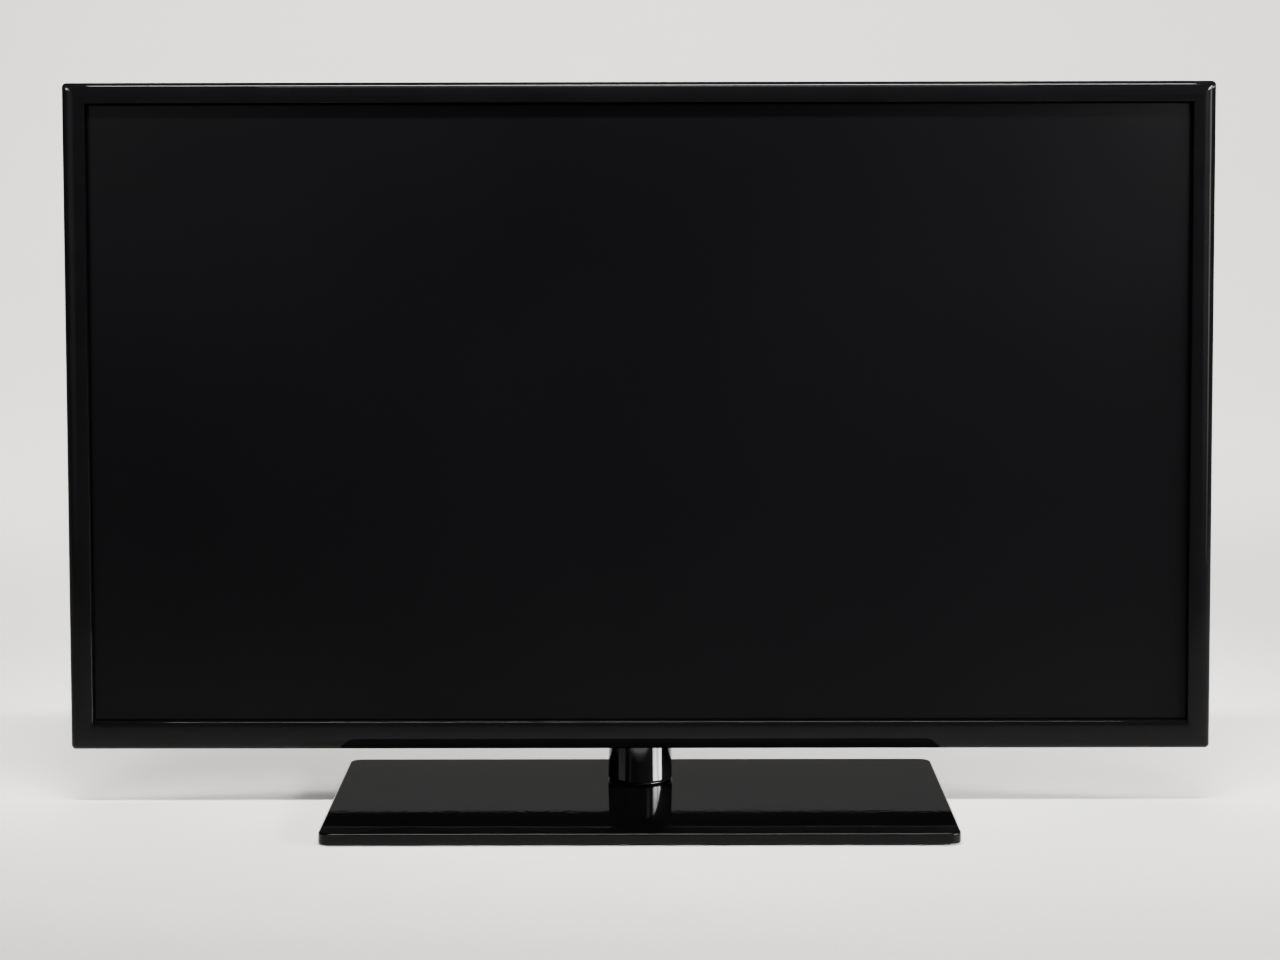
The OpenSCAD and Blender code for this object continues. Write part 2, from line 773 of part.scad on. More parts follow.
module key_power() key(0);
module key_source() key(1);
module key_menu() key(2);
module key_volume_up() key(3);
module key_volume_down() key(4);
module key_channel_up() key(5);
module key_channel_down() key(6);

module key_board() {
  color(board_green) block(key_x, key_z, key_board_w, key_board_h, key_board_front, key_board_back);
}

module key_switches() {
  color(dark_part) for (i = [0 : key_count - 1]) {
    block(key_x, key_row_z(i), switch_w, switch_w, key_board_back, switch_top - switch_plunger);
    rod(key_x, key_row_z(i), switch_w / 4, switch_top - switch_plunger, switch_top);
  }
}

module board(x, z, w, h, front) {
  color(board_green) deep(front, front + board_t) difference() {
    translate([x, z]) square([w, h], center = true);
    for (i = [-1, 1], j = [-1, 1]) {
      translate([x + i * (w / 2 - board_edge), z + j * (h / 2 - board_edge)])
        circle(board_screw_r + board_hole_gap);
    }
  }
}

module main_board() board(main_x, board_z, main_w, board_h, board_front);
module power_board() board(power_x, board_z, power_w, board_h, board_front);
module tcon_board() board(0, tcon_z, tcon_w, tcon_h, tcon_front);

module board_standoffs() {
  color(brass) for (s = standoff_spots) difference() {
    rod(s[0], s[1], standoff_r, chassis_back, chassis_back + s[2]);
    rod(s[0], s[1], board_screw_r + screw_play, chassis_back + standoff_floor, chassis_back + s[2] + eps);
  }
}

module board_screws() {
  color(steel) for (s = standoff_spots) {
    face = chassis_back + s[2] + board_t;
    rod(s[0], s[1], board_screw_r, chassis_back + standoff_floor + screw_tip_gap, face);
    rod(s[0], s[1], board_screw_head_r, face, face + board_screw_head_h);
  }
}

module main_chips() {
  color(dark_part) for (c = main_chip_list) {
    block(main_x + c[0], board_z + c[1], c[2], c[3], board_back, board_back + c[4]);
  }
}

module main_heatsink() {
  fins = 9;
  fin_t = 1.6;
  sole = 3;
  pitch = (main_sink_size - fin_t) / (fins - 1);
  color(aluminium) {
    block(main_sink_x, main_sink_z, main_sink_size, main_sink_size, board_back, board_back + sole);
    for (i = [0 : fins - 1]) {
      x = main_sink_x + (i - (fins - 1) / 2) * pitch;
      block(x, main_sink_z, fin_t, main_sink_size, board_back + sole, board_back + main_sink_h);
    }
  }
}

module shell_port_side(at, size, tongue) {
  difference() {
    side_port(at, size, 0, port_len);
    translate([side_wall_x - eps, front_y + board_back + port_skin, board_z + at - size[0] / 2 + port_skin])
      cube([port_len - port_back_wall, size[1] - 2 * port_skin, size[0] - 2 * port_skin]);
  }
  tongue_y = front_y + board_back + size[1] / 2 - tongue[1] / 2;
  translate([side_wall_x + port_tongue_setback, tongue_y, board_z + at - tongue[0] / 2])
    cube([port_len - 2 * port_tongue_setback, tongue[1], tongue[0]]);
}

module hdmi_ports() {
  color(steel) for (at = hdmi_at) shell_port_side(at, hdmi_size, hdmi_tongue);
}

module usb_ports() {
  color(steel) for (at = usb_at) shell_port_side(at, usb_size, usb_tongue);
}

module headphone_jack() {
  color(dark_part) difference() {
    side_port(headphone_at, jack_size, 0, port_len);
    translate([side_wall_x - eps, front_y + board_back + jack_size[1] / 2, board_z + headphone_at])
      rotate([0, 90, 0]) cylinder(r = headphone_hole_r, h = port_len - port_back_wall + eps);
  }
}

module low_bore(x, t, r, len) {
  translate([x, front_y + board_back + t, low_wall_z]) cylinder(r = r, h = len);
}

module antenna_jack() {
  color(steel) difference() {
    union() {
      low_port(antenna_x, tuner_size, 0, tuner_len);
      translate([0, 0, -antenna_len]) low_bore(antenna_x, tuner_size[1] / 2, antenna_r, antenna_len + eps);
    }
    translate([0, 0, -antenna_len - eps])
      low_bore(antenna_x, tuner_size[1] / 2, antenna_hole_r, antenna_len + eps + antenna_hole_floor);
  }
}

module lan_port() {
  color(steel) difference() {
    low_port(lan_x, lan_size, 0, lan_len);
    translate([lan_x, front_y + board_back + lan_size[1] / 2, low_wall_z - eps])
      translate([-lan_mouth[0] / 2, -lan_mouth[1] / 2, 0])
        cube([lan_mouth[0], lan_mouth[1], lan_mouth[2] + eps]);
  }
}

module av_jacks() {
  color(dark_part) for (i = [0 : av_count - 1]) difference() {
    x = av_x + i * av_pitch;
    union() {
      low_port(x, av_size, 0, port_len);
      translate([0, 0, -av_barrel_len]) low_bore(x, av_size[1] / 2, av_barrel_r, av_barrel_len + eps);
    }
    translate([0, 0, -av_barrel_len - eps])
      low_bore(x, av_size[1] / 2, av_hole_r, av_barrel_len + eps + av_hole_floor);
  }
}

module optical_port() {
  color(dark_part) difference() {
    low_port(optical_x, optical_size, 0, port_len);
    wall = (optical_size[1] - optical_mouth[0]) / 2;
    translate([optical_x - optical_mouth[0] / 2, front_y + board_back + wall, low_wall_z - eps])
      cube([optical_mouth[0], optical_mouth[0], optical_mouth[1] + eps]);
  }
}

module mains_inlet() {
  pin_x = 4.3;
  pin_r = 1.2;
  mouth_r = 4.3;
  mouth_waist = 0.5;
  mouth_depth = 12;
  pin_setback = 2;
  pin_root = 1;
  color(dark_part) translate([0, 0, -inlet_proud]) {
    difference() {
      low_port(inlet_x, [inlet_w, inlet_t], 0, inlet_len + inlet_proud);
      for (i = [-1, 1]) translate([i * pin_x, 0, -eps])
        low_bore(inlet_x, inlet_t / 2, mouth_r, mouth_depth + eps);
      waist_y = front_y + board_back + inlet_t / 2 - mouth_r + mouth_waist;
      translate([inlet_x - pin_x, waist_y, low_wall_z - eps])
        cube([2 * pin_x, 2 * (mouth_r - mouth_waist), mouth_depth + eps]);
    }
    for (i = [-1, 1]) translate([i * pin_x, 0, pin_setback])
      low_bore(inlet_x, inlet_t / 2, pin_r, mouth_depth - pin_setback + pin_root);
  }
}

module power_transformers() {
  color(brass) for (c = transformer_list) {
    block(power_x + c[0], board_z + c[1], c[2], c[3], board_back, board_back + c[4]);
  }
}

module power_capacitors() {
  color(dark_part) for (c = capacitor_list) {
    rod(power_x + c[0], board_z + c[1], c[2], board_back, board_back + c[3]);
  }
}

module power_heatsinks() {
  top = board_back + power_sink_h;
  color(aluminium) for (i = [-1, 1]) {
    x = power_sink_x + i * power_sink_spread;
    fold_x = x - i * power_sink_fold / 2;
    block(x, power_sink_z, power_sink_t, power_sink_len, board_back, top);
    block(fold_x, power_sink_z, power_sink_fold, power_sink_len, top, top + power_sink_fold_t);
  }
}

module panel_cable() {
  cable_w = 30;
  cable_t = 0.4;
  cable_clear = 2;
  x0 = main_x + main_w / 2 - board_edge - standoff_r - cable_w - cable_clear;
  z0 = board_z + board_h / 2 - cable_w;
  z1 = tcon_z + cable_w / 2;
  color(white_part) deep(chassis_back, chassis_back + cable_t) {
    translate([x0, z0]) square([cable_w, z1 - z0]);
    translate([x0, z1 - cable_w]) square([-x0 - cable_w, cable_w]);
  }
}

module wire_harness() {
  wire_w = 4;
  wire_t = 2;
  wire_gap = 6;
  power_rise = 45;
  power_reach = 30;
  cross_z = bracket_z0 + bracket_h + wire_gap;
  power_z = board_z + power_rise;
  drop_z = speaker_z + speaker_h / 2;
  power_run = vesa + 2 * power_reach;
  color(white_part) deep(chassis_back, chassis_back + wire_t) {
    translate([-speaker_x, cross_z]) square([2 * speaker_x, wire_w]);
    for (side = [-1, 1]) {
      x = side * (speaker_x - wire_w / 2) - wire_w / 2;
      translate([x, drop_z]) square([wire_w, cross_z - drop_z + wire_w]);
    }
    translate([-power_run / 2, power_z]) square([power_run, 2 * wire_w]);
  }
}

module speakers() {
  back = chassis_back + speaker_d;
  mouth_z = speaker_z - speaker_h / 2;
  color(dark_part) for (side = [-1, 1]) difference() {
    block(side * speaker_x, speaker_z, speaker_w, speaker_h, chassis_back, back);
    block(side * speaker_x, mouth_z, 2 * (cone_rx + cone_gap), 2 * cone_t,
      chassis_back + cone_edge, back - cone_edge);
  }
}

module speaker_cones() {
  edge = cone_edge + cone_gap;
  top_z = speaker_z - speaker_h / 2 + cone_t;
  color(cone_grey) for (side = [-1, 1]) {
    block(side * speaker_x, top_z - cone_t / 2, 2 * cone_rx, cone_t,
      chassis_back + edge, chassis_back + speaker_d - edge);
  }
}

module remote_window() {
  color(lens_red) rod(remote_x, remote_z, remote_r, remote_front, lip_back + remote_tail);
}

module remote_board() {
  front = lip_back + remote_tail;
  color(board_green) block(remote_x, remote_z, remote_board_w, remote_board_h, front, front + board_t);
}

module wall_posts() {
  color(steel) for (s = vesa_spots) difference() {
    rod(s[0], s[1], post_r, chassis_back, back_inner);
    rod(s[0], s[1], vesa_bore_r, back_inner - vesa_bore_depth, back_inner + eps);
  }
}

module stand_bracket() {
  color(steel) difference() {
    union() {
      block(0, bracket_z0 + bracket_h / 2, bracket_w, bracket_h, chassis_back, chassis_back + bracket_t);
      for (i = [-1, 1]) {
        block(i * (bracket_w - bracket_t) / 2, bracket_z0 + bracket_h / 2, bracket_t, bracket_h,
          chassis_back, chassis_back + bracket_flange);
      }
    }
    for (s = stand_screw_spots) {
      rod(s[0], s[1], stand_screw_r + screw_play, chassis_back - eps, chassis_back + bracket_t + eps);
    }
  }
}

module stand_screws() {
  color(steel) for (s = stand_screw_spots) {
    rod(s[0], s[1], stand_screw_r, chassis_back + stand_screw_tip, tongue_back);
    rod(s[0], s[1], stand_screw_head_r, tongue_back, tongue_back + stand_screw_head_h);
  }
}

module rear_screws() {
  color(dark_part) for (s = rear_screw_spots) {
    rod(s[0], s[1], rear_screw_r, bezel_depth - rear_screw_grip + rear_screw_tip, rim_back);
    rod(s[0], s[1], rear_screw_head_r, rim_back, rim_back + rear_screw_head_h);
  }
}

module on_neck_axis() translate([0, neck_y, 0]) children();

module swivel_holes(r, from, to) {
  for (s = swivel_screw_spots) translate([s[0], s[1], from]) cylinder(r = r, h = to - from);
}

module neck() {
  edge = [for (a = [0 : 15 : 90])
    [neck_foot_r - neck_edge_r + neck_edge_r * sin(a), neck_z0 + neck_edge_r - neck_edge_r * cos(a)]];
  color(gloss_black) on_neck_axis() difference() {
    rotate_extrude($fn = 96) polygon(concat([[0, neck_z0]], edge,
      [[neck_top_r, neck_top_z], [neck_top_r - neck_wall, neck_top_z],
        [neck_top_r - neck_wall, neck_floor_top], [0, neck_floor_top]]));
    swivel_holes(swivel_screw_r + screw_play, neck_z0 - eps, neck_floor_top + eps);
  }
}

module neck_core() {
  color(steel) difference() {
    union() {
      on_neck_axis() translate([0, 0, neck_floor_top]) cylinder(r = core_r, h = core_top - neck_floor_top);
      block(0, (tongue_z0 + tongue_z1) / 2, tongue_w, tongue_z1 - tongue_z0, tongue_front, tongue_back);
    }
    on_neck_axis() swivel_holes(swivel_screw_r + screw_play, neck_floor_top - eps, swivel_screw_top + eps);
    for (s = stand_screw_spots) {
      rod(s[0], s[1], stand_screw_r + stand_screw_play, tongue_front - eps, tongue_back + eps);
    }
  }
}

module swivel_hub() {
  color(steel) on_neck_axis() difference() {
    translate([0, 0, retainer_top]) cylinder(r = journal_r, h = neck_z0 - retainer_top, $fn = 96);
    swivel_holes(swivel_screw_r + screw_play, retainer_top - eps, neck_z0 + eps);
  }
}

module swivel_retainer() {
  color(steel) on_neck_axis() difference() {
    translate([0, 0, retainer_bottom]) cylinder(r = washer_r, h = retainer_t, $fn = 96);
    for (s = swivel_screw_spots) translate([s[0], s[1], retainer_bottom])
      cylinder(r1 = swivel_screw_head_r + screw_play, r2 = swivel_screw_r + screw_play, h = retainer_t);
  }
}

module swivel_screws() {
  color(steel) on_neck_axis() for (s = swivel_screw_spots) {
    translate([s[0], s[1], retainer_bottom]) {
      cylinder(r1 = swivel_screw_head_r, r2 = swivel_screw_r, h = retainer_t);
      translate([0, 0, retainer_t]) cylinder(r = swivel_screw_r, h = swivel_screw_top - retainer_top);
    }
  }
}

module washer(z) {
  translate([0, 0, z]) difference() {
    cylinder(r = washer_r, h = washer_t, $fn = 96);
    translate([0, 0, -eps]) cylinder(r = journal_r + cover_hole_gap, h = washer_t + 2 * eps, $fn = 96);
  }
}

module swivel_washers() {
  color(white_part) on_neck_axis() {
    washer(base_h);
    washer(retainer_top);
  }
}

module base_cover() {
  inside_w = base_w - 2 * base_wall;
  inside_d = base_d - 2 * base_wall;
  color(gloss_black) difference() {
    translate([0, 0, foot_gap]) linear_extrude(base_h - foot_gap) round_rect(base_w, base_d, base_corner_r);
    translate([0, 0, foot_gap - eps]) linear_extrude(plate_top - foot_gap + eps)
      round_rect(inside_w, inside_d, max(base_corner_r - base_wall, least_corner_r));
    on_neck_axis() cylinder(r = journal_r + cover_hole_gap, h = base_h + eps, $fn = 96);
    for (s = base_screw_spots) {
      translate([s[0], s[1], plate_top - eps])
        cylinder(r = base_screw_r + screw_play, h = base_screw_bite + eps);
    }
  }
}

module base_plate() {
  plate_r = max(base_corner_r - plate_inset, least_corner_r);
  color(steel) difference() {
    translate([0, 0, plate_bottom]) linear_extrude(plate_t)
      round_rect(base_w - 2 * plate_inset, base_d - 2 * plate_inset, plate_r);
    on_neck_axis() cylinder(r = journal_r + journal_play, h = base_h, $fn = 96);
    for (s = base_screw_spots) {
      translate([s[0], s[1], plate_bottom - eps])
        cylinder(r = base_screw_r + screw_play, h = plate_t + 2 * eps);
    }
  }
}

module base_screws() {
  color(steel) for (s = base_screw_spots) translate([s[0], s[1], 0]) {
    translate([0, 0, plate_bottom - base_screw_head_h])
      cylinder(r = base_screw_head_r, h = base_screw_head_h);
    translate([0, 0, plate_bottom]) cylinder(r = base_screw_r, h = plate_t + base_screw_bite - screw_tip_gap);
  }
}

module rubber_feet() {
  color(dark_part) for (s = foot_spots) translate([s[0], s[1], 0]) cylinder(r = foot_r, h = plate_bottom);
}

front_bezel();
screen();
rear_cover();
remote_window();
screen_gasket();
mid_frame();
optical_films();
diffuser_plate();
diffuser_posts();
reflector_sheet();
led_bars();
led_lenses();
back_chassis();
main_board();
main_chips();
main_heatsink();
hdmi_ports();
usb_ports();
headphone_jack();
antenna_jack();
lan_port();
av_jacks();
optical_port();
power_board();
power_transformers();
power_capacitors();
power_heatsinks();
mains_inlet();
tcon_board();
remote_board();
key_board();
key_switches();
key_power();
key_source();
key_menu();
key_volume_up();
key_volume_down();
key_channel_up();
key_channel_down();
speakers();
speaker_cones();
panel_cable();
wire_harness();
board_standoffs();
board_screws();
wall_posts();
stand_bracket();
stand_screws();
rear_screws();
neck();
neck_core();
swivel_hub();
swivel_retainer();
swivel_washers();
swivel_screws();
base_cover();
base_plate();
base_screws();
rubber_feet();
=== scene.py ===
# %% [markdown]
# # A flat screen television on a swivel stand
# The set is a glossy picture frame round a sheet of dark glass, with a moulded shell behind it, on a round
# neck and a flat base. The construction model holds every solid in its place, in metres, and knows how each
# one moves. Here every piece that shows gets soft edges and a finish of its own, and the pieces inside the
# set get the finish of what they are made of.

# %% Load the construction model
import json
import math

import bmesh
import bpy
from mathutils import Matrix, Vector


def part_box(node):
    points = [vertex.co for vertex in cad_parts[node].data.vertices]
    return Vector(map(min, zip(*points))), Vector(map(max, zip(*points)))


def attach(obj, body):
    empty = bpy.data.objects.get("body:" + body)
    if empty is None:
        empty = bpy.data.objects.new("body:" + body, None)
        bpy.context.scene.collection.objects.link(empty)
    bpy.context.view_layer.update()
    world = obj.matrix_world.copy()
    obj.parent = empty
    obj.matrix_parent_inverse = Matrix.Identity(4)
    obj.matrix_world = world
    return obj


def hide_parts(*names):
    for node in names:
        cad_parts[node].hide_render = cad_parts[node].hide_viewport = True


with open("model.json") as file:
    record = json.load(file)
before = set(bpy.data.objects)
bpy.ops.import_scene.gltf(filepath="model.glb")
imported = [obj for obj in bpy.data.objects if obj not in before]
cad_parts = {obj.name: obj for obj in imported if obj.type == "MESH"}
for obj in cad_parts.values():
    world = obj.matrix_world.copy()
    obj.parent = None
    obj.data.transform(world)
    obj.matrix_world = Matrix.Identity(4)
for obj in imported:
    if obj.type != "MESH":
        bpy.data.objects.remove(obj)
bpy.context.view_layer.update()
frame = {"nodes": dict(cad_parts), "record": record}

MM = 0.001
scene = bpy.context.scene
record = frame["record"]
slot_of = {part["node"]: part["material_slot"] for part in record["subparts"]}
body_of = {node: body for body, nodes in record["behaviour"]["bodies"].items() for node in nodes}


def new_object(name, data):
    made = bpy.data.objects.new(name, data)
    scene.collection.objects.link(made)
    return made


# %% [markdown]
# ## The camera
# The set is seen from straight ahead and a little above, from about two metres, with a long lens. The
# uprights of the bezel stay almost parallel although the eye looks down on the base. A view camera does
# that with its falling front, and Blender does it with the lens shift, so the camera tilts only a few
# degrees and the shift does the rest.

# %% Camera
IMAGE_W = 1280
SENSOR_MM = 36.0
FOCAL_PX = 2681.0
AXIS_ABOVE_MIDDLE_PX = 201.6
EYE = Vector((0.008, -2.144, 0.560))
PITCH = math.radians(3.5)
YAW = math.radians(-0.19)
ROLL = math.radians(-0.12)

camera = new_object("Camera", bpy.data.cameras.new("Camera"))
camera.data.sensor_width = SENSOR_MM
camera.data.lens = FOCAL_PX * SENSOR_MM / IMAGE_W
camera.data.shift_y = -AXIS_ABOVE_MIDDLE_PX / IMAGE_W
heading = Matrix.Rotation(-YAW, 4, "Z")
tilt = Matrix.Rotation(math.pi / 2 - PITCH, 4, "X")
roll = Matrix.Rotation(ROLL, 4, "Z")
camera.matrix_world = Matrix.Translation(EYE) @ (heading @ tilt @ roll)
scene.camera = camera
print("lens of", round(camera.data.lens, 1), "mm, shift", round(camera.data.shift_y, 3))

# %% [markdown]
# ## Shader maths as plain sums
# A material is a graph of small nodes, and long graphs are hard to read as calls. One class wraps a socket
# and overloads the operators, so that `0.1 + 0.3 * grain` adds its own Math nodes. A second class holds the
# tree and has a single method that makes any other node from its type, its settings and its sockets.

# %% Wires and recipes
class Wire:
    """A socket that can stand in a sum. Each operator adds one Math node."""

    def __init__(self, recipe, socket):
        self.recipe = recipe
        self.socket = socket

    def also(self, name):
        return Wire(self.recipe, self.socket.node.outputs[name])

    def maths(self, operation, *values):
        return self.recipe.node("ShaderNodeMath", {"operation": operation}, dict(enumerate(values)))

    def through(self, operation, *others):
        return self.maths(operation, self, *others)

    def __add__(self, other):
        return self.maths("ADD", self, other)

    def __sub__(self, other):
        return self.maths("SUBTRACT", self, other)

    def __rsub__(self, other):
        return self.maths("SUBTRACT", other, self)

    def __mul__(self, other):
        return self.maths("MULTIPLY", self, other)

    def __truediv__(self, other):
        return self.maths("DIVIDE", self, other)

    def __gt__(self, other):
        return self.maths("GREATER_THAN", self, other)

    def __lt__(self, other):
        return self.maths("LESS_THAN", self, other)

    __radd__ = __add__
    __rmul__ = __mul__


class Recipe:
    """A node tree with one way to add a node to it."""

    def __init__(self, tree):
        self.tree = tree
        tree.nodes.clear()

    def node(self, kind, settings=None, sockets=None, out=0):
        made = self.tree.nodes.new(kind)
        for name, value in (settings or {}).items():
            setattr(made, name, value)
        for name, value in (sockets or {}).items():
            if isinstance(value, Wire):
                self.tree.links.new(value.socket, made.inputs[name])
            else:
                made.inputs[name].default_value = value
        return Wire(self, made.outputs[out]) if len(made.outputs) else None


print("wires and recipes are ready")

# %% [markdown]
# ## What every finish shares
# Nothing on a real set has one flat colour. Every finish below mixes two colours by a pattern on the piece's
# own coordinates, lets the roughness follow a pattern too, and lifts the surface a few hundredths of a
# millimetre with a bump. `surface` puts these into one Principled shader. Numbers that are the same all over
# are set straight on its sockets.

# %% A finish
# A Mix node has its sockets once for each kind of data, under the same names, so these go by number.
MIX_SHARE = 0
MIX_FIRST = 6
MIX_SECOND = 7
MIX_RESULT = 2


class Finish(Recipe):
    """A material that follows the piece's own coordinates, in metres."""

    def __init__(self, name):
        self.material = bpy.data.materials.new(name)
        self.material.use_nodes = True
        super().__init__(self.material.node_tree)
        self.place = self.node("ShaderNodeTexCoord", out="Object")

    def stretch(self, x, y, z):
        sockets = {0: self.place, 1: (x, y, z)}
        return self.node("ShaderNodeVectorMath", {"operation": "MULTIPLY"}, sockets)

    def along(self, axis):
        return self.node("ShaderNodeSeparateXYZ", None, {0: self.place}, out=axis)

    def noise(self, scale, detail, place=None):
        sockets = {"Vector": place or self.place, "Scale": scale, "Detail": detail}
        return self.node("ShaderNodeTexNoise", None, sockets)

    def cells(self, scale, out="Distance"):
        sockets = {"Vector": self.place, "Scale": scale}
        return self.node("ShaderNodeTexVoronoi", None, sockets, out=out)

    def mix(self, first, second, share):
        sockets = {MIX_SHARE: share, MIX_FIRST: first, MIX_SECOND: second}
        return self.node("ShaderNodeMix", {"data_type": "RGBA"}, sockets, out=MIX_RESULT)

    def ease(self, wire, low, high):
        sockets = {"Value": wire, "From Min": low, "From Max": high}
        return self.node("ShaderNodeMapRange", {"interpolation_type": "SMOOTHSTEP"}, sockets)

    def surface(self, colour, roughness, relief, depth, **same_all_over):
        bump = self.node("ShaderNodeBump", None, {"Height": relief, "Distance": depth})
        sockets = {"Base Color": colour, "Roughness": roughness, "Normal": bump}
        sockets.update({name.replace("_", " "): value for name, value in same_all_over.items()})
        shader = self.node("ShaderNodeBsdfPrincipled", None, sockets)
        self.node("ShaderNodeOutputMaterial", None, {"Surface": shader})
        return self.material


def tone(red, green, blue):
    return (red, green, blue, 1.0)


finishes = {}
print("finishes mix patterns into one shader")

# %% [markdown]
# ## The studio
# The set stands on a pale paper sweep: a floor that bends up into a backdrop far behind, so that no line
# cuts the picture and the back of the set can be looked at too. Paper isn't quite even, so a slow noise
# shifts its tone by a few hundredths. The sheet is pale where the camera sees it, and towards both its ends
# it is painted grey, as painted shade, because black lacquer and dark glass show whatever they face. The
# floor is a little greyer than the backdrop. The bezel faces the floor in front of the set, so that end has
# painted shade, as if the floor there were unlit. The base mirrors the upper end: its painted shade makes
# the base's back grey, and past the sheet's edge the dark room makes its front black.

# %% Paper
# The upper and front tones are painted shade on the paper, for the lacquer and the glass to mirror.
FLOOR_GRADE = (-1.6, -0.6)
UPPER_SHADE_RANGE = (0.86, 1.08)
FRONT_SHADE_RANGE = (0.5, 0.95)
FLOOR_TONE = tone(0.505, 0.499, 0.49)
UPPER_PAINTED_SHADE = tone(0.08, 0.08, 0.08)
FRONT_PAINTED_SHADE = tone(0.17, 0.17, 0.17)


def paper_with_painted_shade():
    f = Finish("pale_paper")
    mottle = f.noise(1.3, detail=5.0)
    fibre = f.noise(700.0, detail=2.0)
    frontward = 0.0 - f.along("Y")
    colour = f.mix(tone(0.70, 0.69, 0.675), tone(0.76, 0.75, 0.735), mottle)
    colour = f.mix(colour, FLOOR_TONE, f.ease(frontward, *FLOOR_GRADE))
    # The last two mixes paint shade into the paper's colour at its upper and front ends.
    colour = f.mix(colour, UPPER_PAINTED_SHADE, f.ease(f.along("Z"), *UPPER_SHADE_RANGE))
    colour = f.mix(colour, FRONT_PAINTED_SHADE, f.ease(frontward, *FRONT_SHADE_RANGE))
    return f.surface(colour, 0.72 + 0.12 * mottle, fibre, depth=0.04 * MM)


paper_finish = paper_with_painted_shade()
print("paper with three grades")

# %% Paper sweep
SWEEP_HALF_W = 9.0
SWEEP_FRONT = -9.0
SWEEP_BEND_Y = 3.0
SWEEP_BEND_R = 2.5
SWEEP_TOP = 1.405
SWEEP_STEPS = 20

last_turn = math.acos(1 - SWEEP_TOP / SWEEP_BEND_R)
turns = [last_turn * i / SWEEP_STEPS for i in range(SWEEP_STEPS + 1)]
bend = [(SWEEP_BEND_Y + SWEEP_BEND_R * math.sin(a), SWEEP_BEND_R * (1 - math.cos(a))) for a in turns]
profile = [(SWEEP_FRONT, 0.0)] + bend
sheet = bmesh.new()
rows = [[sheet.verts.new((x, y, z)) for x in (-SWEEP_HALF_W, SWEEP_HALF_W)] for y, z in profile]
for near, far in zip(rows, rows[1:]):
    sheet.faces.new((near[0], near[1], far[1], far[0])).smooth = True
sweep_mesh = bpy.data.meshes.new("paper_sweep")
sheet.to_mesh(sweep_mesh)
sheet.free()
sweep_mesh.materials.append(paper_finish)
sweep = new_object("paper_sweep", sweep_mesh)
print("sweep of", len(sweep_mesh.polygons), "strips")

# %% [markdown]
# ## The light
# Gloss black shows nothing but what it mirrors, so the lights are placed for their reflections, and the
# camera never sees them. Two large boxes, overhead and behind, only brighten the paper and aren't mirrored
# at all. Two strips above the set draw the line along its top edge, and small spots the glints on the upper
# mitres. A narrow strip and two dim glows draw the lines down the rails. Two low strips on an arc at the
# right draw the bright band on the round neck and in its mirror image, and a dim one at the left draws the
# soft band. A box above the camera lights the floor and the base's front edge, and two beside it veil the
# screen's upper corners. In a studio a grid narrows a light's beam, and Blender calls that spread: it lets a
# small light draw a clear line without flooding the floor. The room stays dim, so that the screen stays dark.

# %% A softbox
STUDIO_WHITE = (1.0, 0.985, 0.96)
NO_GRID = 180.0


def softbox(name, place, aim, size, watts, grid=NO_GRID, mirrored=True):
    """A rectangle of light, width by height in metres. A grid narrows its beam to so many degrees."""
    light = bpy.data.lights.new(name, "AREA")
    light.shape = "RECTANGLE"
    light.size, light.size_y = size
    light.energy = watts
    light.color = STUDIO_WHITE
    light.spread = math.radians(grid)
    holder = new_object(name, light)
    holder.location = place
    holder.rotation_mode = "QUATERNION"
    holder.rotation_quaternion = (Vector(aim) - Vector(place)).to_track_quat("-Z", "Y")
    holder.visible_camera = False
    holder.visible_glossy = mirrored


print("a softbox without a grid spreads over", NO_GRID, "degrees")

# %% Boxes for the floor and the upper edges
TOP_EDGE = (0.0, 0.0, 0.586)
RIGHT_MITRE = (0.46, 0.0, 0.58)
LEFT_MITRE = (-0.46, 0.0, 0.58)
softbox("overhead", (0.0, 1.3, 3.0), (0.0, 1.0, 0.0), (3.6, 1.4), 112.0, mirrored=False)
softbox("front_top", (0.0, -2.1, 2.35), (0.0, -0.2, 0.2), (1.4, 0.6), 30.0)
softbox("edge_strip", (0.0, -0.42, 1.49), TOP_EDGE, (1.3, 0.07), 13.0, grid=60.0)
softbox("edge_strip_middle", (0.0, -0.42, 1.49), TOP_EDGE, (0.7, 0.07), 7.0, grid=60.0)
softbox("corner_spot", (1.18, -0.97, 1.04), RIGHT_MITRE, (0.22, 0.22), 2.0, grid=40.0)
softbox("corner_spot_near", (1.01, -1.13, 0.87), RIGHT_MITRE, (0.22, 0.22), 1.3, grid=40.0)
softbox("corner_spot_left", (-1.12, -1.02, 0.99), LEFT_MITRE, (0.3, 0.3), 2.0, grid=40.0)
print("lines on the top edge and glints on two mitres")

# %% Strips for the neck
NECK_FOOT = (0.0, 0.03, 0.03)
ARC_REACH = 3.6
ARC_HEIGHT = 0.88
ARC_TURNS = {"right_strip_front": -33.0, "right_strip": -13.3}
for name, turn in ARC_TURNS.items():
    along = ARC_REACH * math.cos(math.radians(turn))
    across = ARC_REACH * math.sin(math.radians(turn))
    place = (along, NECK_FOOT[1] + across, ARC_HEIGHT)
    softbox(name, place, NECK_FOOT, (1.2, 0.5), 12.0, grid=30.0)
softbox("left_strip", (-3.5, -0.9, 0.80), NECK_FOOT, (2.6, 0.3), 6.0)
print("strips", ARC_REACH, "m from the neck")

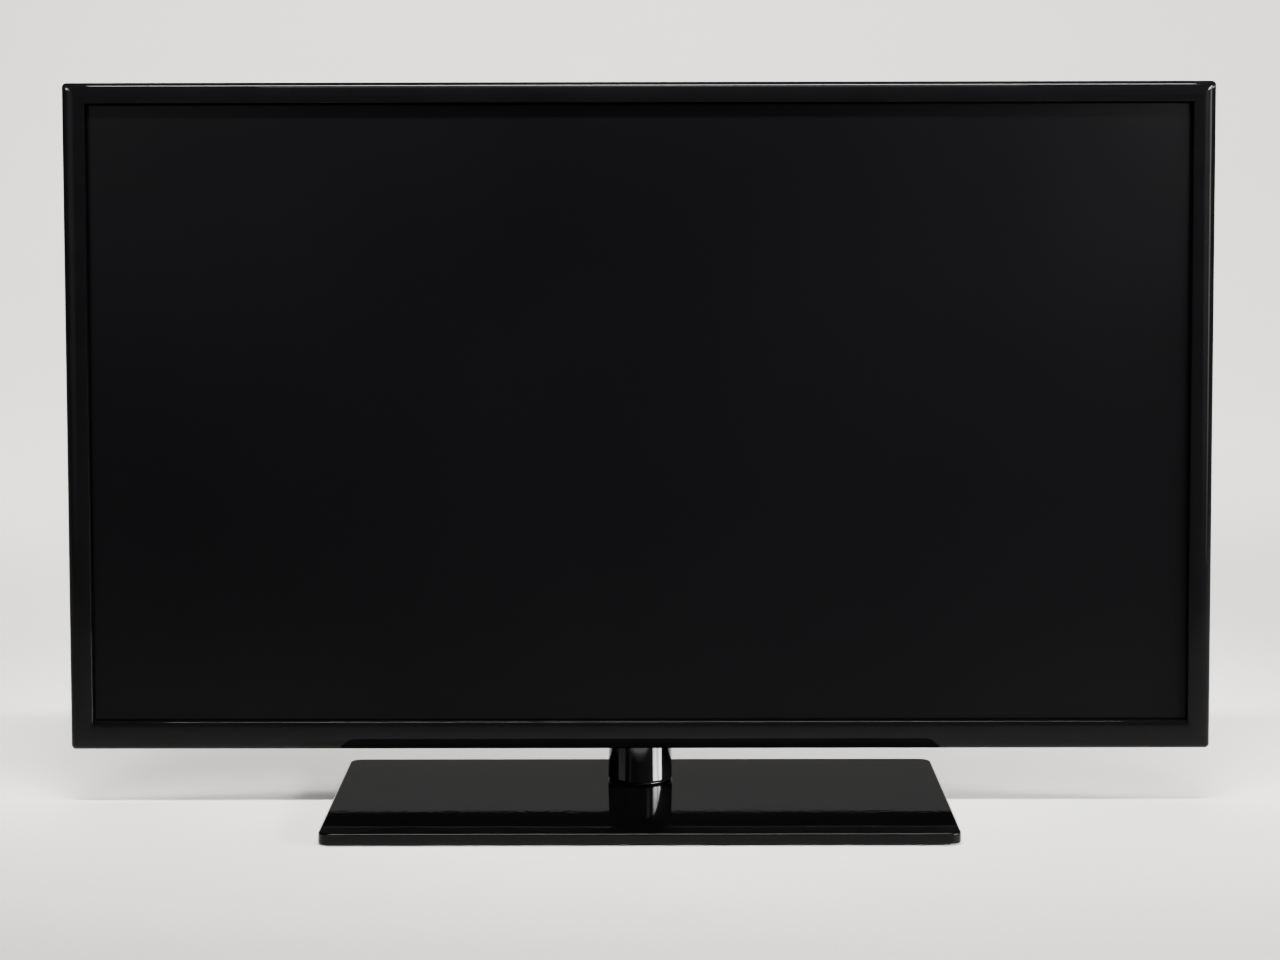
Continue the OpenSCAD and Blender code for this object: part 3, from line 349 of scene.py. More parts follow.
# %% Boxes for the rails, the screen and the backdrop
RIGHT_RAIL = (0.46, 0.0, 0.32)
LEFT_RAIL = (-0.46, 0.0, 0.32)
softbox("rail_strip", (1.17, -0.90, 0.40), RIGHT_RAIL, (0.16, 1.0), 0.36, grid=30.0)
softbox("rail_glow", (0.91, -0.95, 0.40), RIGHT_RAIL, (0.37, 1.0), 0.12, grid=30.0)
softbox("rail_glow_left", (-0.95, -0.95, 0.40), LEFT_RAIL, (0.5, 1.0), 0.09, grid=30.0)
softbox("right_front", (1.35, -2.3, 1.4), (0.3, 0.0, 0.4), (0.6, 1.0), 4.0)
softbox("left_front", (-1.38, -2.3, 1.58), (-0.3, 0.0, 0.45), (0.6, 0.7), 27.0)
softbox("backdrop", (0.0, 2.6, 3.8), (0.0, 3.7, 0.0), (6.0, 1.4), 560.0, mirrored=False)

# %% Dim room
ROOM = (0.006, 0.0062, 0.0066, 1.0)
world = bpy.data.worlds.new("dim_room")
world.use_nodes = True
world.node_tree.nodes["Background"].inputs["Color"].default_value = ROOM
scene.world = world
print("a room of tone", ROOM[:3])

# %% [markdown]
# ## Mesh helpers
# Most pieces of the outside are stacks of rounded rectangles or circles: the bezel, the base, the glass and
# the keys. `loft` joins such rings with four-sided faces, which shade more evenly than the triangles of a
# boolean. `polish` shades a mesh smooth, keeps its true edges sharp and weights the normals by area, so that
# flat faces mirror like flat faces.

# %% Rings and lofts
ROUND_STEPS = 5


def quarter_arc(radius):
    """A rounded edge in steps, each as its distances from the two faces that the edge joins."""
    turns = [math.pi / 2 * i / ROUND_STEPS for i in range(ROUND_STEPS + 1)]
    return [(radius * (1 - math.cos(a)), radius * (1 - math.sin(a))) for a in turns]


def rounded_ring(half_w, low, high, radius, per_corner=7):
    """Points of an upright rectangle with round corners, anticlockwise, as (x, z)."""
    corners = [(half_w - radius, low + radius, -90), (half_w - radius, high - radius, 0),
               (radius - half_w, high - radius, 90), (radius - half_w, low + radius, 180)]
    points = []
    for x, z, start in corners:
        for i in range(per_corner):
            a = math.radians(start + 90 * i / (per_corner - 1))
            points.append((x + radius * math.cos(a), z + radius * math.sin(a)))
    return points


def circle_ring(radius, count, start=0.0):
    turns = [start + 2 * math.pi * i / count for i in range(count)]
    return [(radius * math.cos(a), radius * math.sin(a)) for a in turns]


def loft(name, rings, closed=False):
    """Joins rings of points. A closed loft returns to its first ring, an open one gets two end faces."""
    shape = bmesh.new()
    lines = [[shape.verts.new(p) for p in ring] for ring in rings]
    for low, high in zip(lines, lines[1:] + lines[:1] if closed else lines[1:]):
        for i in range(len(low)):
            j = (i + 1) % len(low)
            shape.faces.new((low[i], low[j], high[j], high[i]))
    if not closed:
        shape.faces.new(lines[0])
        shape.faces.new(lines[-1])
    bmesh.ops.recalc_face_normals(shape, faces=shape.faces)
    mesh = bpy.data.meshes.new(name)
    shape.to_mesh(mesh)
    shape.free()
    return new_object(name, mesh)


print("rounded edges take", ROUND_STEPS, "steps")

# %% Polish and dress
FLAT_FACE_WEIGHT = 90


def settle(piece):
    """Turns a piece and its modifiers into a plain mesh."""
    graph = bpy.context.evaluated_depsgraph_get()
    mesh = bpy.data.meshes.new_from_object(piece.evaluated_get(graph))
    mesh.name = piece.name
    piece.modifiers.clear()
    piece.data = mesh
    return piece


def polish(piece, crease):
    """Shades a piece smooth, apart from the edges that turn by more than the crease, in degrees."""
    piece.data.shade_smooth()
    piece.data.set_sharp_from_angle(angle=math.radians(crease))
    weighted = piece.modifiers.new("flat_faces", "WEIGHTED_NORMAL")
    weighted.weight = FLAT_FACE_WEIGHT
    weighted.keep_sharp = True
    return settle(piece)


def dress(piece, finish, body, node):
    """Gives a piece its finish and its body, and hides the solid that it stands for."""
    if finish is not None:
        piece.data.materials.clear()
        piece.data.materials.append(finish)
    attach(piece, body)
    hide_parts(node)
    print(piece.name, "has", len(piece.data.polygons), "faces")


print("pieces can be polished and dressed")

# %% [markdown]
# ## Gloss black
# The bezel, the neck and the base are moulded in black and lacquered like a piano. Such a skin is almost a
# mirror: what shows that it's plastic is a slight wave of the lacquer a few millimetres long, faint wiping
# marks and single grains of dust. The wave goes into the bump, the marks and the dust into the roughness.
# Each of the three has its own depth of black and its own strength of mirror. Where nobody looks, along the
# lower edge, a moulding is left bare and dull.

# %% Piano gloss
def piano_gloss(name, ink, shine, haze, bare_below):
    """Black lacquer. Below the given height the moulding was left bare."""
    f = Finish(name)
    bare = f.along("Z") < bare_below
    wipe = f.noise(16.0, detail=4.0, place=f.stretch(1.0, 1.0, 3.0))
    dust = f.noise(1500.0, detail=1.0)
    wave = f.noise(190.0, detail=1.0)
    deep = tone(0.7 * ink, 0.7 * ink, 0.8 * ink)
    black = f.mix(deep, tone(1.3 * ink, 1.3 * ink, 1.5 * ink), wipe)
    grey = f.mix(black, tone(0.03, 0.03, 0.03), f.ease(dust, 0.76, 0.80) * 0.4)
    roughness = haze + 0.03 * wipe * wipe + 0.18 * f.ease(dust, 0.74, 0.80) + 0.6 * bare
    return f.surface(grey, roughness, wave, depth=0.003 * MM, Specular_IOR_Level=shine)


BARE_EDGE = 0.9 * MM
bezel_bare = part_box("front_bezel")[0].z + BARE_EDGE
base_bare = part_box("base_cover")[0].z + BARE_EDGE
neck_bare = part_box("neck")[0].z
bezel_gloss = piano_gloss("bezel_gloss", ink=0.0014, shine=0.07, haze=0.02, bare_below=bezel_bare)
base_gloss = piano_gloss("base_gloss", ink=0.0006, shine=0.078, haze=0.004, bare_below=base_bare)
neck_gloss = piano_gloss("neck_gloss", ink=0.0018, shine=0.5, haze=0.09, bare_below=neck_bare)
print("three lacquers")

# %% [markdown]
# ## The bezel
# The frame round the screen is one moulding. Its outer edge is well rounded and runs into a wide, shallow
# brow, then the face falls back a little towards the glass, and a deep lip holds the panel. Where two rails
# meet, the brows make a mitre that catches the light. A swept profile can't do it, since the lower rail is
# wider than the others, so each ring of the loft is a rectangle of its own, at a share of the way from the
# crest of the brow to the opening.

# %% Bezel sizes
bezel_lo, bezel_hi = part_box("front_bezel")
CORNER_R = 3.5 * MM
SIDE_RAIL = 18.5 * MM
TOP_RAIL = 16.5 * MM
LOWER_RAIL = 23.0 * MM
EDGE_R = 5.5 * MM
BROW_R = 27.0 * MM
BROW_TILT = math.radians(14.0)
PILLOW_FALL = 0.6 * MM
LIP_BACK = 6.0 * MM
LIP_R = 1.0 * MM
BEZEL_WALL = 2.5 * MM
BACK_BREAK = 0.4 * MM
MITRE_R = 0.45 * MM
EDGE_STEPS = 9
BROW_STEPS = 8
PILLOW_STEPS = 5

half_w = bezel_hi.x
front_y = bezel_lo.y
depth = bezel_hi.y - bezel_lo.y
brow_inset = EDGE_R * (1 - math.sin(BROW_TILT))
crest_inset = brow_inset + BROW_R * math.sin(BROW_TILT)


def rail_ring(inset, back):
    """A ring at an even distance inside the outer edge. Its corners sharpen towards the crest."""
    radius = CORNER_R + (MITRE_R - CORNER_R) * inset / crest_inset
    points = rounded_ring(half_w - inset, bezel_lo.z + inset, bezel_hi.z - inset, radius)
    return [(x, front_y + back, z) for x, z in points]


def face_ring(share, back, spread=0.0):
    """A ring on the face, at a share of the way from the crest to the opening."""
    side = crest_inset + (SIDE_RAIL - crest_inset) * share - spread
    low = bezel_lo.z + crest_inset + (LOWER_RAIL - crest_inset) * share - spread
    high = bezel_hi.z - crest_inset - (TOP_RAIL - crest_inset) * share + spread
    return [(x, front_y + back, z) for x, z in rounded_ring(half_w - side, low, high, MITRE_R)]


print("rails of", SIDE_RAIL, TOP_RAIL, "and", LOWER_RAIL, "m, crest at", crest_inset, "m")

# %% Bezel
edge_span = math.pi / 2 - BROW_TILT
edge_tilts = [math.pi / 2 - edge_span * i / EDGE_STEPS for i in range(EDGE_STEPS)]
brow_tilts = [BROW_TILT * (1 - i / BROW_STEPS) for i in range(BROW_STEPS + 1)]
pillow_shares = [i / PILLOW_STEPS for i in range(1, PILLOW_STEPS)]
edge_back = BROW_R * (1 - math.cos(BROW_TILT)) + EDGE_R * math.cos(BROW_TILT)
rings = [rail_ring(0.0, depth - BACK_BREAK)]
rings += [rail_ring(EDGE_R * (1 - math.sin(t)), edge_back - EDGE_R * math.cos(t)) for t in edge_tilts]
rings += [rail_ring(crest_inset - BROW_R * math.sin(t), BROW_R * (1 - math.cos(t))) for t in brow_tilts]
rings += [face_ring(share, PILLOW_FALL * share ** 2) for share in pillow_shares]
rings += [face_ring(1.0, PILLOW_FALL + back, spread) for back, spread in quarter_arc(LIP_R)]
rings += [face_ring(1.0, LIP_BACK - BACK_BREAK), face_ring(1.0, LIP_BACK, BACK_BREAK)]
rings += [rail_ring(BEZEL_WALL, LIP_BACK), rail_ring(BEZEL_WALL, depth - BACK_BREAK)]
rings += [rail_ring(BEZEL_WALL - BACK_BREAK, depth), rail_ring(BACK_BREAK, depth)]
bezel = polish(loft("bezel", rings, closed=True), crease=30.0)
dress(bezel, bezel_gloss, "set", "front_bezel")

# %% [markdown]
# ## The screen
# The panel is covered by an anti-glare film: black, with a haze that smears every reflection. Its roughness
# is that haze, and a grain of about a quarter millimetre in the bump makes it sparkle a little up close. A
# narrow border round the picture is printed and blacker than the picture itself, so a mask on the distance
# from the middle picks between the two. The sheet is a loft of four rings, with its edges just broken.

# %% Screen glass
glass_lo, glass_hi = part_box("screen")
PICTURE_W = 885.6 * MM
PICTURE_H = 498.2 * MM
BORDER_BLUR = 0.4 * MM
GLASS_ROUND = 0.25 * MM
glass_mid = (glass_lo + glass_hi) / 2


def anti_glare():
    f = Finish("anti_glare_glass")
    from_mid_x = f.along("X").through("ABSOLUTE")
    from_mid_z = (f.along("Z") - glass_mid.z).through("ABSOLUTE")
    border_x = f.ease(from_mid_x, PICTURE_W / 2, PICTURE_W / 2 + BORDER_BLUR)
    border_z = f.ease(from_mid_z, PICTURE_H / 2, PICTURE_H / 2 + BORDER_BLUR)
    border = border_x.through("MAXIMUM", border_z)
    grain = f.noise(4200.0, detail=2.0)
    haze = f.noise(3.0, detail=2.0)
    picture = f.mix(tone(0.0008, 0.0008, 0.0010), tone(0.0013, 0.0013, 0.0016), haze)
    colour = f.mix(picture, tone(0.0006, 0.0006, 0.0007), border)
    roughness = 0.27 + 0.05 * haze + 0.05 * grain - 0.08 * border
    return f.surface(colour, roughness, grain, depth=0.003 * MM, Specular_IOR_Level=0.04)


finishes["screen_glass"] = anti_glare()


def glass_ring(inset, y):
    points = rounded_ring(glass_hi.x - inset, glass_lo.z + inset, glass_hi.z - inset, MITRE_R)
    return [(x, y, z) for x, z in points]


glass_rings = [glass_ring(GLASS_ROUND, glass_lo.y), glass_ring(0.0, glass_lo.y + GLASS_ROUND),
               glass_ring(0.0, glass_hi.y - GLASS_ROUND), glass_ring(GLASS_ROUND, glass_hi.y)]
glass = polish(loft("screen_panel", glass_rings), crease=25.0)
dress(glass, finishes["screen_glass"], "set", "screen")

# %% [markdown]
# ## The remote eye
# Behind a smoked lens at the right end of the lower rail sits the receiver for the remote control. The lens
# is a short rod with a slightly domed end, nearly flush and as black as the lacquer round it, so that it
# hardly shows. A plain cylinder would have a hard rim, so the rod is a loft whose rings follow the dome.

# %% Remote eye
eye_lo, eye_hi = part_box("remote_window")
eye_mid = (eye_lo + eye_hi) / 2
eye_r = (eye_hi.x - eye_lo.x) / 2
EYE_PROUD = 0.06 * MM
EYE_DOME = 0.06 * MM
EYE_SIDES = 32


def smoked_lens():
    f = Finish("smoked_lens")
    swirl = f.noise(500.0, detail=2.0)
    colour = f.mix(tone(0.0022, 0.0010, 0.0011), tone(0.0036, 0.0014, 0.0016), swirl)
    return f.surface(colour, 0.05 + 0.05 * swirl, swirl, depth=0.004 * MM, Specular_IOR_Level=0.06)


finishes["smoked_lens"] = smoked_lens()


def eye_ring(radius, y):
    return [(eye_mid.x + x, y, eye_mid.z + z) for x, z in circle_ring(radius, EYE_SIDES)]


eye_front = front_y - EYE_PROUD
dome = [(0.25, 0.0), (0.6, 0.1), (0.85, 0.3), (0.96, 0.6), (1.0, 1.0)]
eye_rings = [eye_ring(eye_r * share, eye_front + EYE_DOME * back) for share, back in dome]
eye = polish(loft("remote_eye", eye_rings + [eye_ring(eye_r, eye_hi.y)]), crease=50.0)
dress(eye, finishes["smoked_lens"], "set", "remote_window")

# %% [markdown]
# ## The base
# The base is a flat lacquered slab with rounded corners and a soft upper edge, hollow below, with a round
# hole where the swivel's journal goes through. A bevelled cube with a boolean would put long thin faces on
# the mirror-flat top, so it is a closed loft: up the outside, over the edge, across the top to the hole, down
# through it and back along the inside of the skirt.

# %% Base
base_lo, base_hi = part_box("base_cover")
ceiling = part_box("base_plate")[1].z
hub_lo, hub_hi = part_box("swivel_hub")
hub_mid = (hub_lo + hub_hi) / 2
BASE_CORNER_R = 10.0 * MM
BASE_WALL = 3.0 * MM
BASE_EDGE_R = 1.6 * MM
SKIRT_BREAK = 0.5 * MM
HOLE_R = 18.6 * MM
PER_CORNER = 9


def base_ring(inset, z):
    radius = max(BASE_CORNER_R - inset, MITRE_R)
    points = rounded_ring(base_hi.x - inset, base_lo.y + inset, base_hi.y - inset, radius, PER_CORNER)
    return [(x, y, z) for x, y in points]


def hole_ring(radius, z):
    points = circle_ring(radius, 4 * PER_CORNER, -math.pi / 2 + math.pi / (4 * PER_CORNER))
    return [(hub_mid.x + x, hub_mid.y + y, z) for x, y in points]


rings = [base_ring(SKIRT_BREAK, base_lo.z), base_ring(0.0, base_lo.z + SKIRT_BREAK)]
rings += [base_ring(inset, base_hi.z - drop) for inset, drop in quarter_arc(BASE_EDGE_R)]
rings += [hole_ring(HOLE_R, base_hi.z), hole_ring(HOLE_R, ceiling)]
rings += [base_ring(BASE_WALL, ceiling), base_ring(BASE_WALL, base_lo.z)]
base = polish(loft("base_slab", rings, closed=True), crease=25.0)
dress(base, base_gloss, "base", "base_cover")

# %% [markdown]
# ## The neck
# The neck is turned: its outline is a rule, a quarter circle at the foot and then a straight taper. A
# Geometry Nodes tree lays that rule on a grid, with one side of the grid as the way round and the other as
# the way up, and closes the seam. Its sizes are named inputs, so the same tree would turn any such neck.

# %% Helpers for geometry trees
def tree_with_inputs(name, sockets):
    """A new geometry tree with a geometry in and out and the given named inputs."""
    tree = bpy.data.node_groups.new(name, "GeometryNodeTree")
    tree.interface.new_socket("Geometry", in_out="INPUT", socket_type="NodeSocketGeometry")
    for label, kind in sockets.items():
        tree.interface.new_socket(label, in_out="INPUT", socket_type="NodeSocket" + kind)
    tree.interface.new_socket("Geometry", in_out="OUTPUT", socket_type="NodeSocketGeometry")
    return tree


def grow(name, tree, start_mesh, values):
    """Runs a geometry tree on a mesh and returns the result as an object with a plain mesh."""
    holder = new_object(name, start_mesh)
    growth = holder.modifiers.new("growth", "NODES")
    growth.node_group = tree
    for item in tree.interface.items_tree:
        if item.in_out == "INPUT" and item.name in values:
            growth[item.identifier] = values[item.name]
    return settle(holder)


print("geometry trees can be grown into meshes")

# %% A tree that turns a neck
NECK_ROUND = 128
NECK_EDGE_STEPS = 8
SEAM = 0.01 * MM
neck_lo, neck_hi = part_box("neck")
neck_mid = (neck_lo + neck_hi) / 2
neck_tree = tree_with_inputs("turned_neck", {
    "Foot Radius": "Float", "Top Radius": "Float", "Edge Radius": "Float", "Height": "Float",
    "Foot Centre": "Vector", "Finish": "Material"})
g = Recipe(neck_tree)
given = g.node("NodeGroupInput")
sheet = g.node("GeometryNodeMeshGrid", None, {
    "Size X": 1.0, "Size Y": 1.0, "Vertices X": NECK_ROUND + 1, "Vertices Y": NECK_EDGE_STEPS + 2})
spot = g.node("ShaderNodeSeparateXYZ", None, {0: g.node("GeometryNodeInputPosition")}, out="X")
turn = (spot + 0.5) * (2 * math.pi)
row = (spot.also("Y") + 0.5) * (NECK_EDGE_STEPS + 1)
arc = (row / NECK_EDGE_STEPS).through("MINIMUM", 1.0) * (math.pi / 2)
rise = (row - NECK_EDGE_STEPS).through("MAXIMUM", 0.0)
foot = given.also("Foot Radius")
top = given.also("Top Radius")
edge = given.also("Edge Radius")
radius = foot - edge * (1 - arc.through("SINE")) - rise * (foot - top)
height = edge * (1 - arc.through("COSINE")) + rise * (given.also("Height") - edge)
turned = g.node("ShaderNodeCombineXYZ", None, {
    "X": radius * turn.through("COSINE"), "Y": radius * turn.through("SINE"), "Z": height})
moved = g.node("ShaderNodeVectorMath", {"operation": "ADD"}, {0: turned, 1: given.also("Foot Centre")})
tube = g.node("GeometryNodeSetPosition", None, {"Geometry": sheet, "Position": moved})
closed = g.node("GeometryNodeMergeByDistance", None, {"Geometry": tube, "Distance": SEAM})
real = g.node("GeometryNodeRealizeInstances", None, {"Geometry": closed})
done = g.node("GeometryNodeSetMaterial", None, {"Geometry": real, "Material": given.also("Finish")})
g.node("NodeGroupOutput", None, {"Geometry": done})
print("the neck's tree has", len(neck_tree.nodes), "nodes")

# %% Turned neck
NECK_TOP_R = 25.2 * MM
NECK_EDGE_R = 2.5 * MM
neck = grow("neck_tube", neck_tree, bpy.data.meshes.new("neck_seed"), {
    "Foot Radius": (neck_hi.x - neck_lo.x) / 2, "Top Radius": NECK_TOP_R, "Edge Radius": NECK_EDGE_R,
    "Height": neck_hi.z - neck_lo.z, "Foot Centre": (neck_mid.x, neck_mid.y, neck_lo.z),
    "Finish": neck_gloss})


def close_ends(piece):
    shape = bmesh.new()
    shape.from_mesh(piece.data)
    bmesh.ops.holes_fill(shape, edges=shape.edges)
    bmesh.ops.recalc_face_normals(shape, faces=shape.faces)
    shape.to_mesh(piece.data)
    shape.free()
    return piece


polish(close_ends(neck), crease=50.0)
dress(neck, neck_gloss, "set", "neck")

# %% [markdown]
# ## Matte black
# The shell behind the screen is plain moulded plastic. Its mould was etched by sparks, which leaves a fine
# even grain of half a millimetre that scatters light and hides scratches. The grain goes into the bump, and
# a slower noise stands for the faint shine where hands have held the set.

# %% Spark-grained plastic
def spark_grain():
    f = Finish("spark_grain")
    pits = f.cells(1300.0)
    grain = f.noise(2100.0, detail=3.0)
    handled = f.noise(6.0, detail=4.0)
    colour = f.mix(tone(0.0045, 0.0045, 0.005), tone(0.009, 0.009, 0.0097), grain)
    worn = f.mix(colour, tone(0.012, 0.012, 0.013), f.ease(handled, 0.55, 0.8) * 0.5)
    roughness = 0.46 + 0.14 * grain - 0.10 * f.ease(handled, 0.5, 0.8)
    return f.surface(worn, roughness, pits + 0.6 * grain, depth=0.06 * MM, Specular_IOR_Level=0.25)


finishes["matte_black"] = spark_grain()
print("spark-grained plastic")

# %% [markdown]
# ## The rear shell
# The shell has hundreds of slots, sockets and recesses that the construction model already cuts exactly, so
# it starts from a copy of that solid. The copy's loose triangles are merged and flat neighbours joined, and
# then every true edge gets a small bevel, as a mould leaves it.

# %% Softened copies of solids
FLAT_ANGLE = math.radians(0.6)
EDGE_ANGLE = math.radians(24.0)
BEVEL_STEPS = 2
MERGE_DISTANCE = 0.002 * MM
SHELL_EDGE = 0.45 * MM


def softened(node, name, width):
    """A copy of a solid whose edges are rounded by the given width."""
    mesh = frame["nodes"][node].data.copy()
    mesh.name = name
    shape = bmesh.new()
    shape.from_mesh(mesh)
    bmesh.ops.remove_doubles(shape, verts=shape.verts, dist=MERGE_DISTANCE)
    bmesh.ops.dissolve_limit(shape, angle_limit=FLAT_ANGLE, verts=shape.verts, edges=shape.edges)
    shape.to_mesh(mesh)
    shape.free()
    copy = new_object(name, mesh)
    rounding = copy.modifiers.new("rounding", "BEVEL")
    rounding.width = width
    rounding.segments = BEVEL_STEPS
    rounding.limit_method = "ANGLE"
    rounding.angle_limit = EDGE_ANGLE
    rounding.use_clamp_overlap = False
    rounding.loop_slide = False
    return polish(settle(copy), crease=40.0)


shell = softened("rear_cover", "rear_shell", SHELL_EDGE)
dress(shell, finishes["matte_black"], "set", "rear_cover")

# %% [markdown]
# ## Keys
# Seven keys stand in a recess at the right of the back. A bevelled cube would do from afar, but each one is a
# loft from its hidden flange to a dished top that a fingertip finds without looking. They ride on bodies of
# their own, since each one can be pressed.

# %% Key plastic
def satin_key():
    f = Finish("satin_key")
    touch = f.noise(60.0, detail=3.0)
    grain = f.noise(2600.0, detail=2.0)
    colour = f.mix(tone(0.007, 0.007, 0.0075), tone(0.013, 0.013, 0.014), touch)
    return f.surface(colour, 0.26 + 0.14 * touch, grain, depth=0.01 * MM, Specular_IOR_Level=0.25)


finishes["key_black"] = satin_key()
print("satin key plastic")

# %% Keys
KEY_FLANGE = 1.0 * MM
KEY_FLANGE_T = 1.8 * MM
KEY_BREAK = 0.15 * MM
KEY_ROUND = 0.6 * MM
KEY_DISH = 0.22 * MM
KEY_DISH_STEPS = [(0.7 * MM, 0.6), (1.6 * MM, 1.0)]
KEY_CORNER = 1.4 * MM
KEY_LEAST_CORNER = 0.3 * MM
KEY_PER_CORNER = 5


def key_cap(node):
    lo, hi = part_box(node)
    mid = (lo + hi) / 2
    half = (hi - lo) / 2

    def ring(inset, y):
        corner = max(KEY_CORNER - inset / 2, KEY_LEAST_CORNER)
        points = rounded_ring(half.x - inset, -half.z + inset, half.z - inset, corner, KEY_PER_CORNER)
        return [(mid.x + x, y, mid.z + z) for x, z in points]

    rings = [ring(KEY_BREAK, lo.y), ring(0.0, lo.y + KEY_BREAK), ring(0.0, lo.y + KEY_FLANGE_T)]
    rings += [ring(KEY_FLANGE, lo.y + KEY_FLANGE_T), ring(KEY_FLANGE, hi.y - KEY_ROUND)]
    rings += [ring(KEY_FLANGE + inset, hi.y - drop) for inset, drop in quarter_arc(KEY_ROUND)[1:]]
    crown = KEY_FLANGE + KEY_ROUND
    rings += [ring(crown + inset, hi.y - KEY_DISH * share) for inset, share in KEY_DISH_STEPS]
    return polish(loft(node + "_cap", rings), crease=40.0)


for node in sorted(n for n in slot_of if slot_of[n] == "key_black"):
    dress(key_cap(node), finishes["key_black"], body_of[node], node)

# %% [markdown]
# ## Metals
# Screws and socket shells are nickel plated, the chassis is galvanised sheet, the stand's core is cast and
# the heat sinks are extruded. Their colour is nearly the same: what tells them apart is the pattern of the
# surface. Plating has fine drawn lines, zinc grows flat crystals, a casting is grainy, an extrusion is
# streaked along its length.

# %% Plated metals
def plated(name, dark, light, roughness):
    f = Finish(name)
    lines = f.noise(420.0, detail=3.0, place=f.stretch(1.0, 1.0, 14.0))
    stain = f.noise(30.0, detail=3.0)
    colour = f.mix(dark, light, 0.6 * lines + 0.4 * stain)
    return f.surface(colour, roughness + 0.12 * lines + 0.08 * stain, lines, depth=0.012 * MM, Metallic=1.0)


finishes["bright_steel"] = plated(
    "nickel_plate", tone(0.55, 0.55, 0.56), tone(0.74, 0.74, 0.75), roughness=0.18)
finishes["black_steel"] = plated(
    "black_zinc", tone(0.02, 0.02, 0.021), tone(0.06, 0.06, 0.063), roughness=0.3)
finishes["brass"] = plated(
    "turned_brass", tone(0.62, 0.45, 0.16), tone(0.83, 0.66, 0.3), roughness=0.2)
print("three plated metals")

# %% Sheet, cast and extruded metals
def galvanised():
    f = Finish("galvanised")
    crystal = f.cells(140.0, out="Color")
    tint = f.node("ShaderNodeSeparateXYZ", None, {0: crystal}, out="X")
    speck = f.noise(900.0, detail=2.0)
    colour = f.mix(tone(0.47, 0.48, 0.49), tone(0.66, 0.67, 0.68), tint)
    return f.surface(colour, 0.30 + 0.16 * tint + 0.08 * speck, speck, depth=0.01 * MM, Metallic=1.0)


def grainy_cast():
    f = Finish("grainy_cast")
    grain = f.noise(1100.0, detail=4.0)
    flow = f.noise(25.0, detail=3.0)
    colour = f.mix(tone(0.42, 0.43, 0.44), tone(0.6, 0.61, 0.62), 0.5 * grain + 0.5 * flow)
    return f.surface(colour, 0.42 + 0.18 * grain, grain, depth=0.05 * MM, Metallic=1.0)


def extruded():
    f = Finish("extruded")
    streak = f.noise(900.0, detail=2.0, place=f.stretch(1.0, 1.0, 0.03))
    colour = f.mix(tone(0.62, 0.63, 0.64), tone(0.8, 0.81, 0.82), streak)
    return f.surface(colour, 0.25 + 0.16 * streak, streak, depth=0.01 * MM, Metallic=1.0)


finishes["sheet_steel"] = galvanised()
finishes["cast_aluminium"] = grainy_cast()
finishes["aluminium"] = extruded()
print("a sheet, a casting and an extrusion")

# %% [markdown]
# ## Screws
# Screws repeat, so one head is modelled and a Geometry Nodes tree sets it on every spot, each turned by a
# seeded random angle as a hand leaves it. The spots come from the solids: every loose part of a screw node
# has its own middle. The head is a low dome with a cross recess, cut with a boolean.

# %% One screw head
HEAD_SIDES = 24
CROSS_W = 0.3
CROSS_REACH = 0.62
CROSS_DEPTH = 0.55
CROSS_TAPER = 0.7
CROSS_CLEAR = 0.1


def cross_cutter(reach, width, top, bottom):
    """A plus sign in plan that narrows towards its bottom."""
    w, r = width / 2, reach
    plan = [(w, -r), (w, -w), (r, -w), (r, w), (w, w), (w, r),
            (-w, r), (-w, w), (-r, w), (-r, -w), (-w, -w), (-w, -r)]
    floor = [(x * CROSS_TAPER, y * CROSS_TAPER, bottom) for x, y in plan]
    mouth = [(x, y, top) for x, y in plan]
    return loft("cross_cutter", [floor, mouth])


def screw_head(name, rim_h, dome_h):
    """A head of radius 1 that stands on its own origin and looks up."""
    outline = [(0.88, 0.0), (1.0, rim_h * 0.2), (1.0, rim_h * 0.8), (0.94, rim_h + dome_h * 0.15),
               (0.75, rim_h + dome_h * 0.6), (0.4, rim_h + dome_h)]
    head = loft(name, [[(x, y, z) for x, y in circle_ring(r, HEAD_SIDES)] for r, z in outline])
    top = rim_h + dome_h
    cutter = cross_cutter(CROSS_REACH, CROSS_W, top + CROSS_CLEAR, top - CROSS_DEPTH)
    cut = head.modifiers.new("recess", "BOOLEAN")
    cut.operation = "DIFFERENCE"
    cut.solver = "EXACT"
    cut.object = cutter
    polish(settle(head), crease=30.0)
    bpy.data.objects.remove(cutter)
    return head


pan_head = screw_head("pan_head", rim_h=0.3, dome_h=0.36)
flat_head = screw_head("flat_head", rim_h=0.08, dome_h=0.02)
print("a screw head has", len(pan_head.data.polygons), "faces")

# %% A tree that sets a part on spots
# A Random Value node has its sockets once for each kind of data too.
RANDOM_LOW = 2
RANDOM_HIGH = 3
RANDOM_RESULT = 1

scatter = tree_with_inputs("set_on_spots", {
    "Part": "Object", "Axis": "Vector", "Size": "Float", "Seed": "Int", "Finish": "Material"})
g = Recipe(scatter)
given = g.node("NodeGroupInput")
aim = g.node("FunctionNodeAlignRotationToVector", {"axis": "Z"}, {"Vector": given.also("Axis")})
angle = g.node("FunctionNodeRandomValue", {"data_type": "FLOAT"}, {
    RANDOM_LOW: 0.0, RANDOM_HIGH: 2 * math.pi, "Seed": given.also("Seed")}, out=RANDOM_RESULT)
euler = g.node("ShaderNodeCombineXYZ", None, {"Z": angle})
spin = g.node("FunctionNodeEulerToRotation", None, {0: euler})
way = g.node("FunctionNodeRotateRotation", {"rotation_space": "LOCAL"}, {0: aim, 1: spin})
part = g.node("GeometryNodeObjectInfo", None, {"Object": given.also("Part")}, out="Geometry")
set_down = g.node("GeometryNodeInstanceOnPoints", None, {
    "Points": given, "Instance": part, "Rotation": way, "Scale": given.also("Size")})
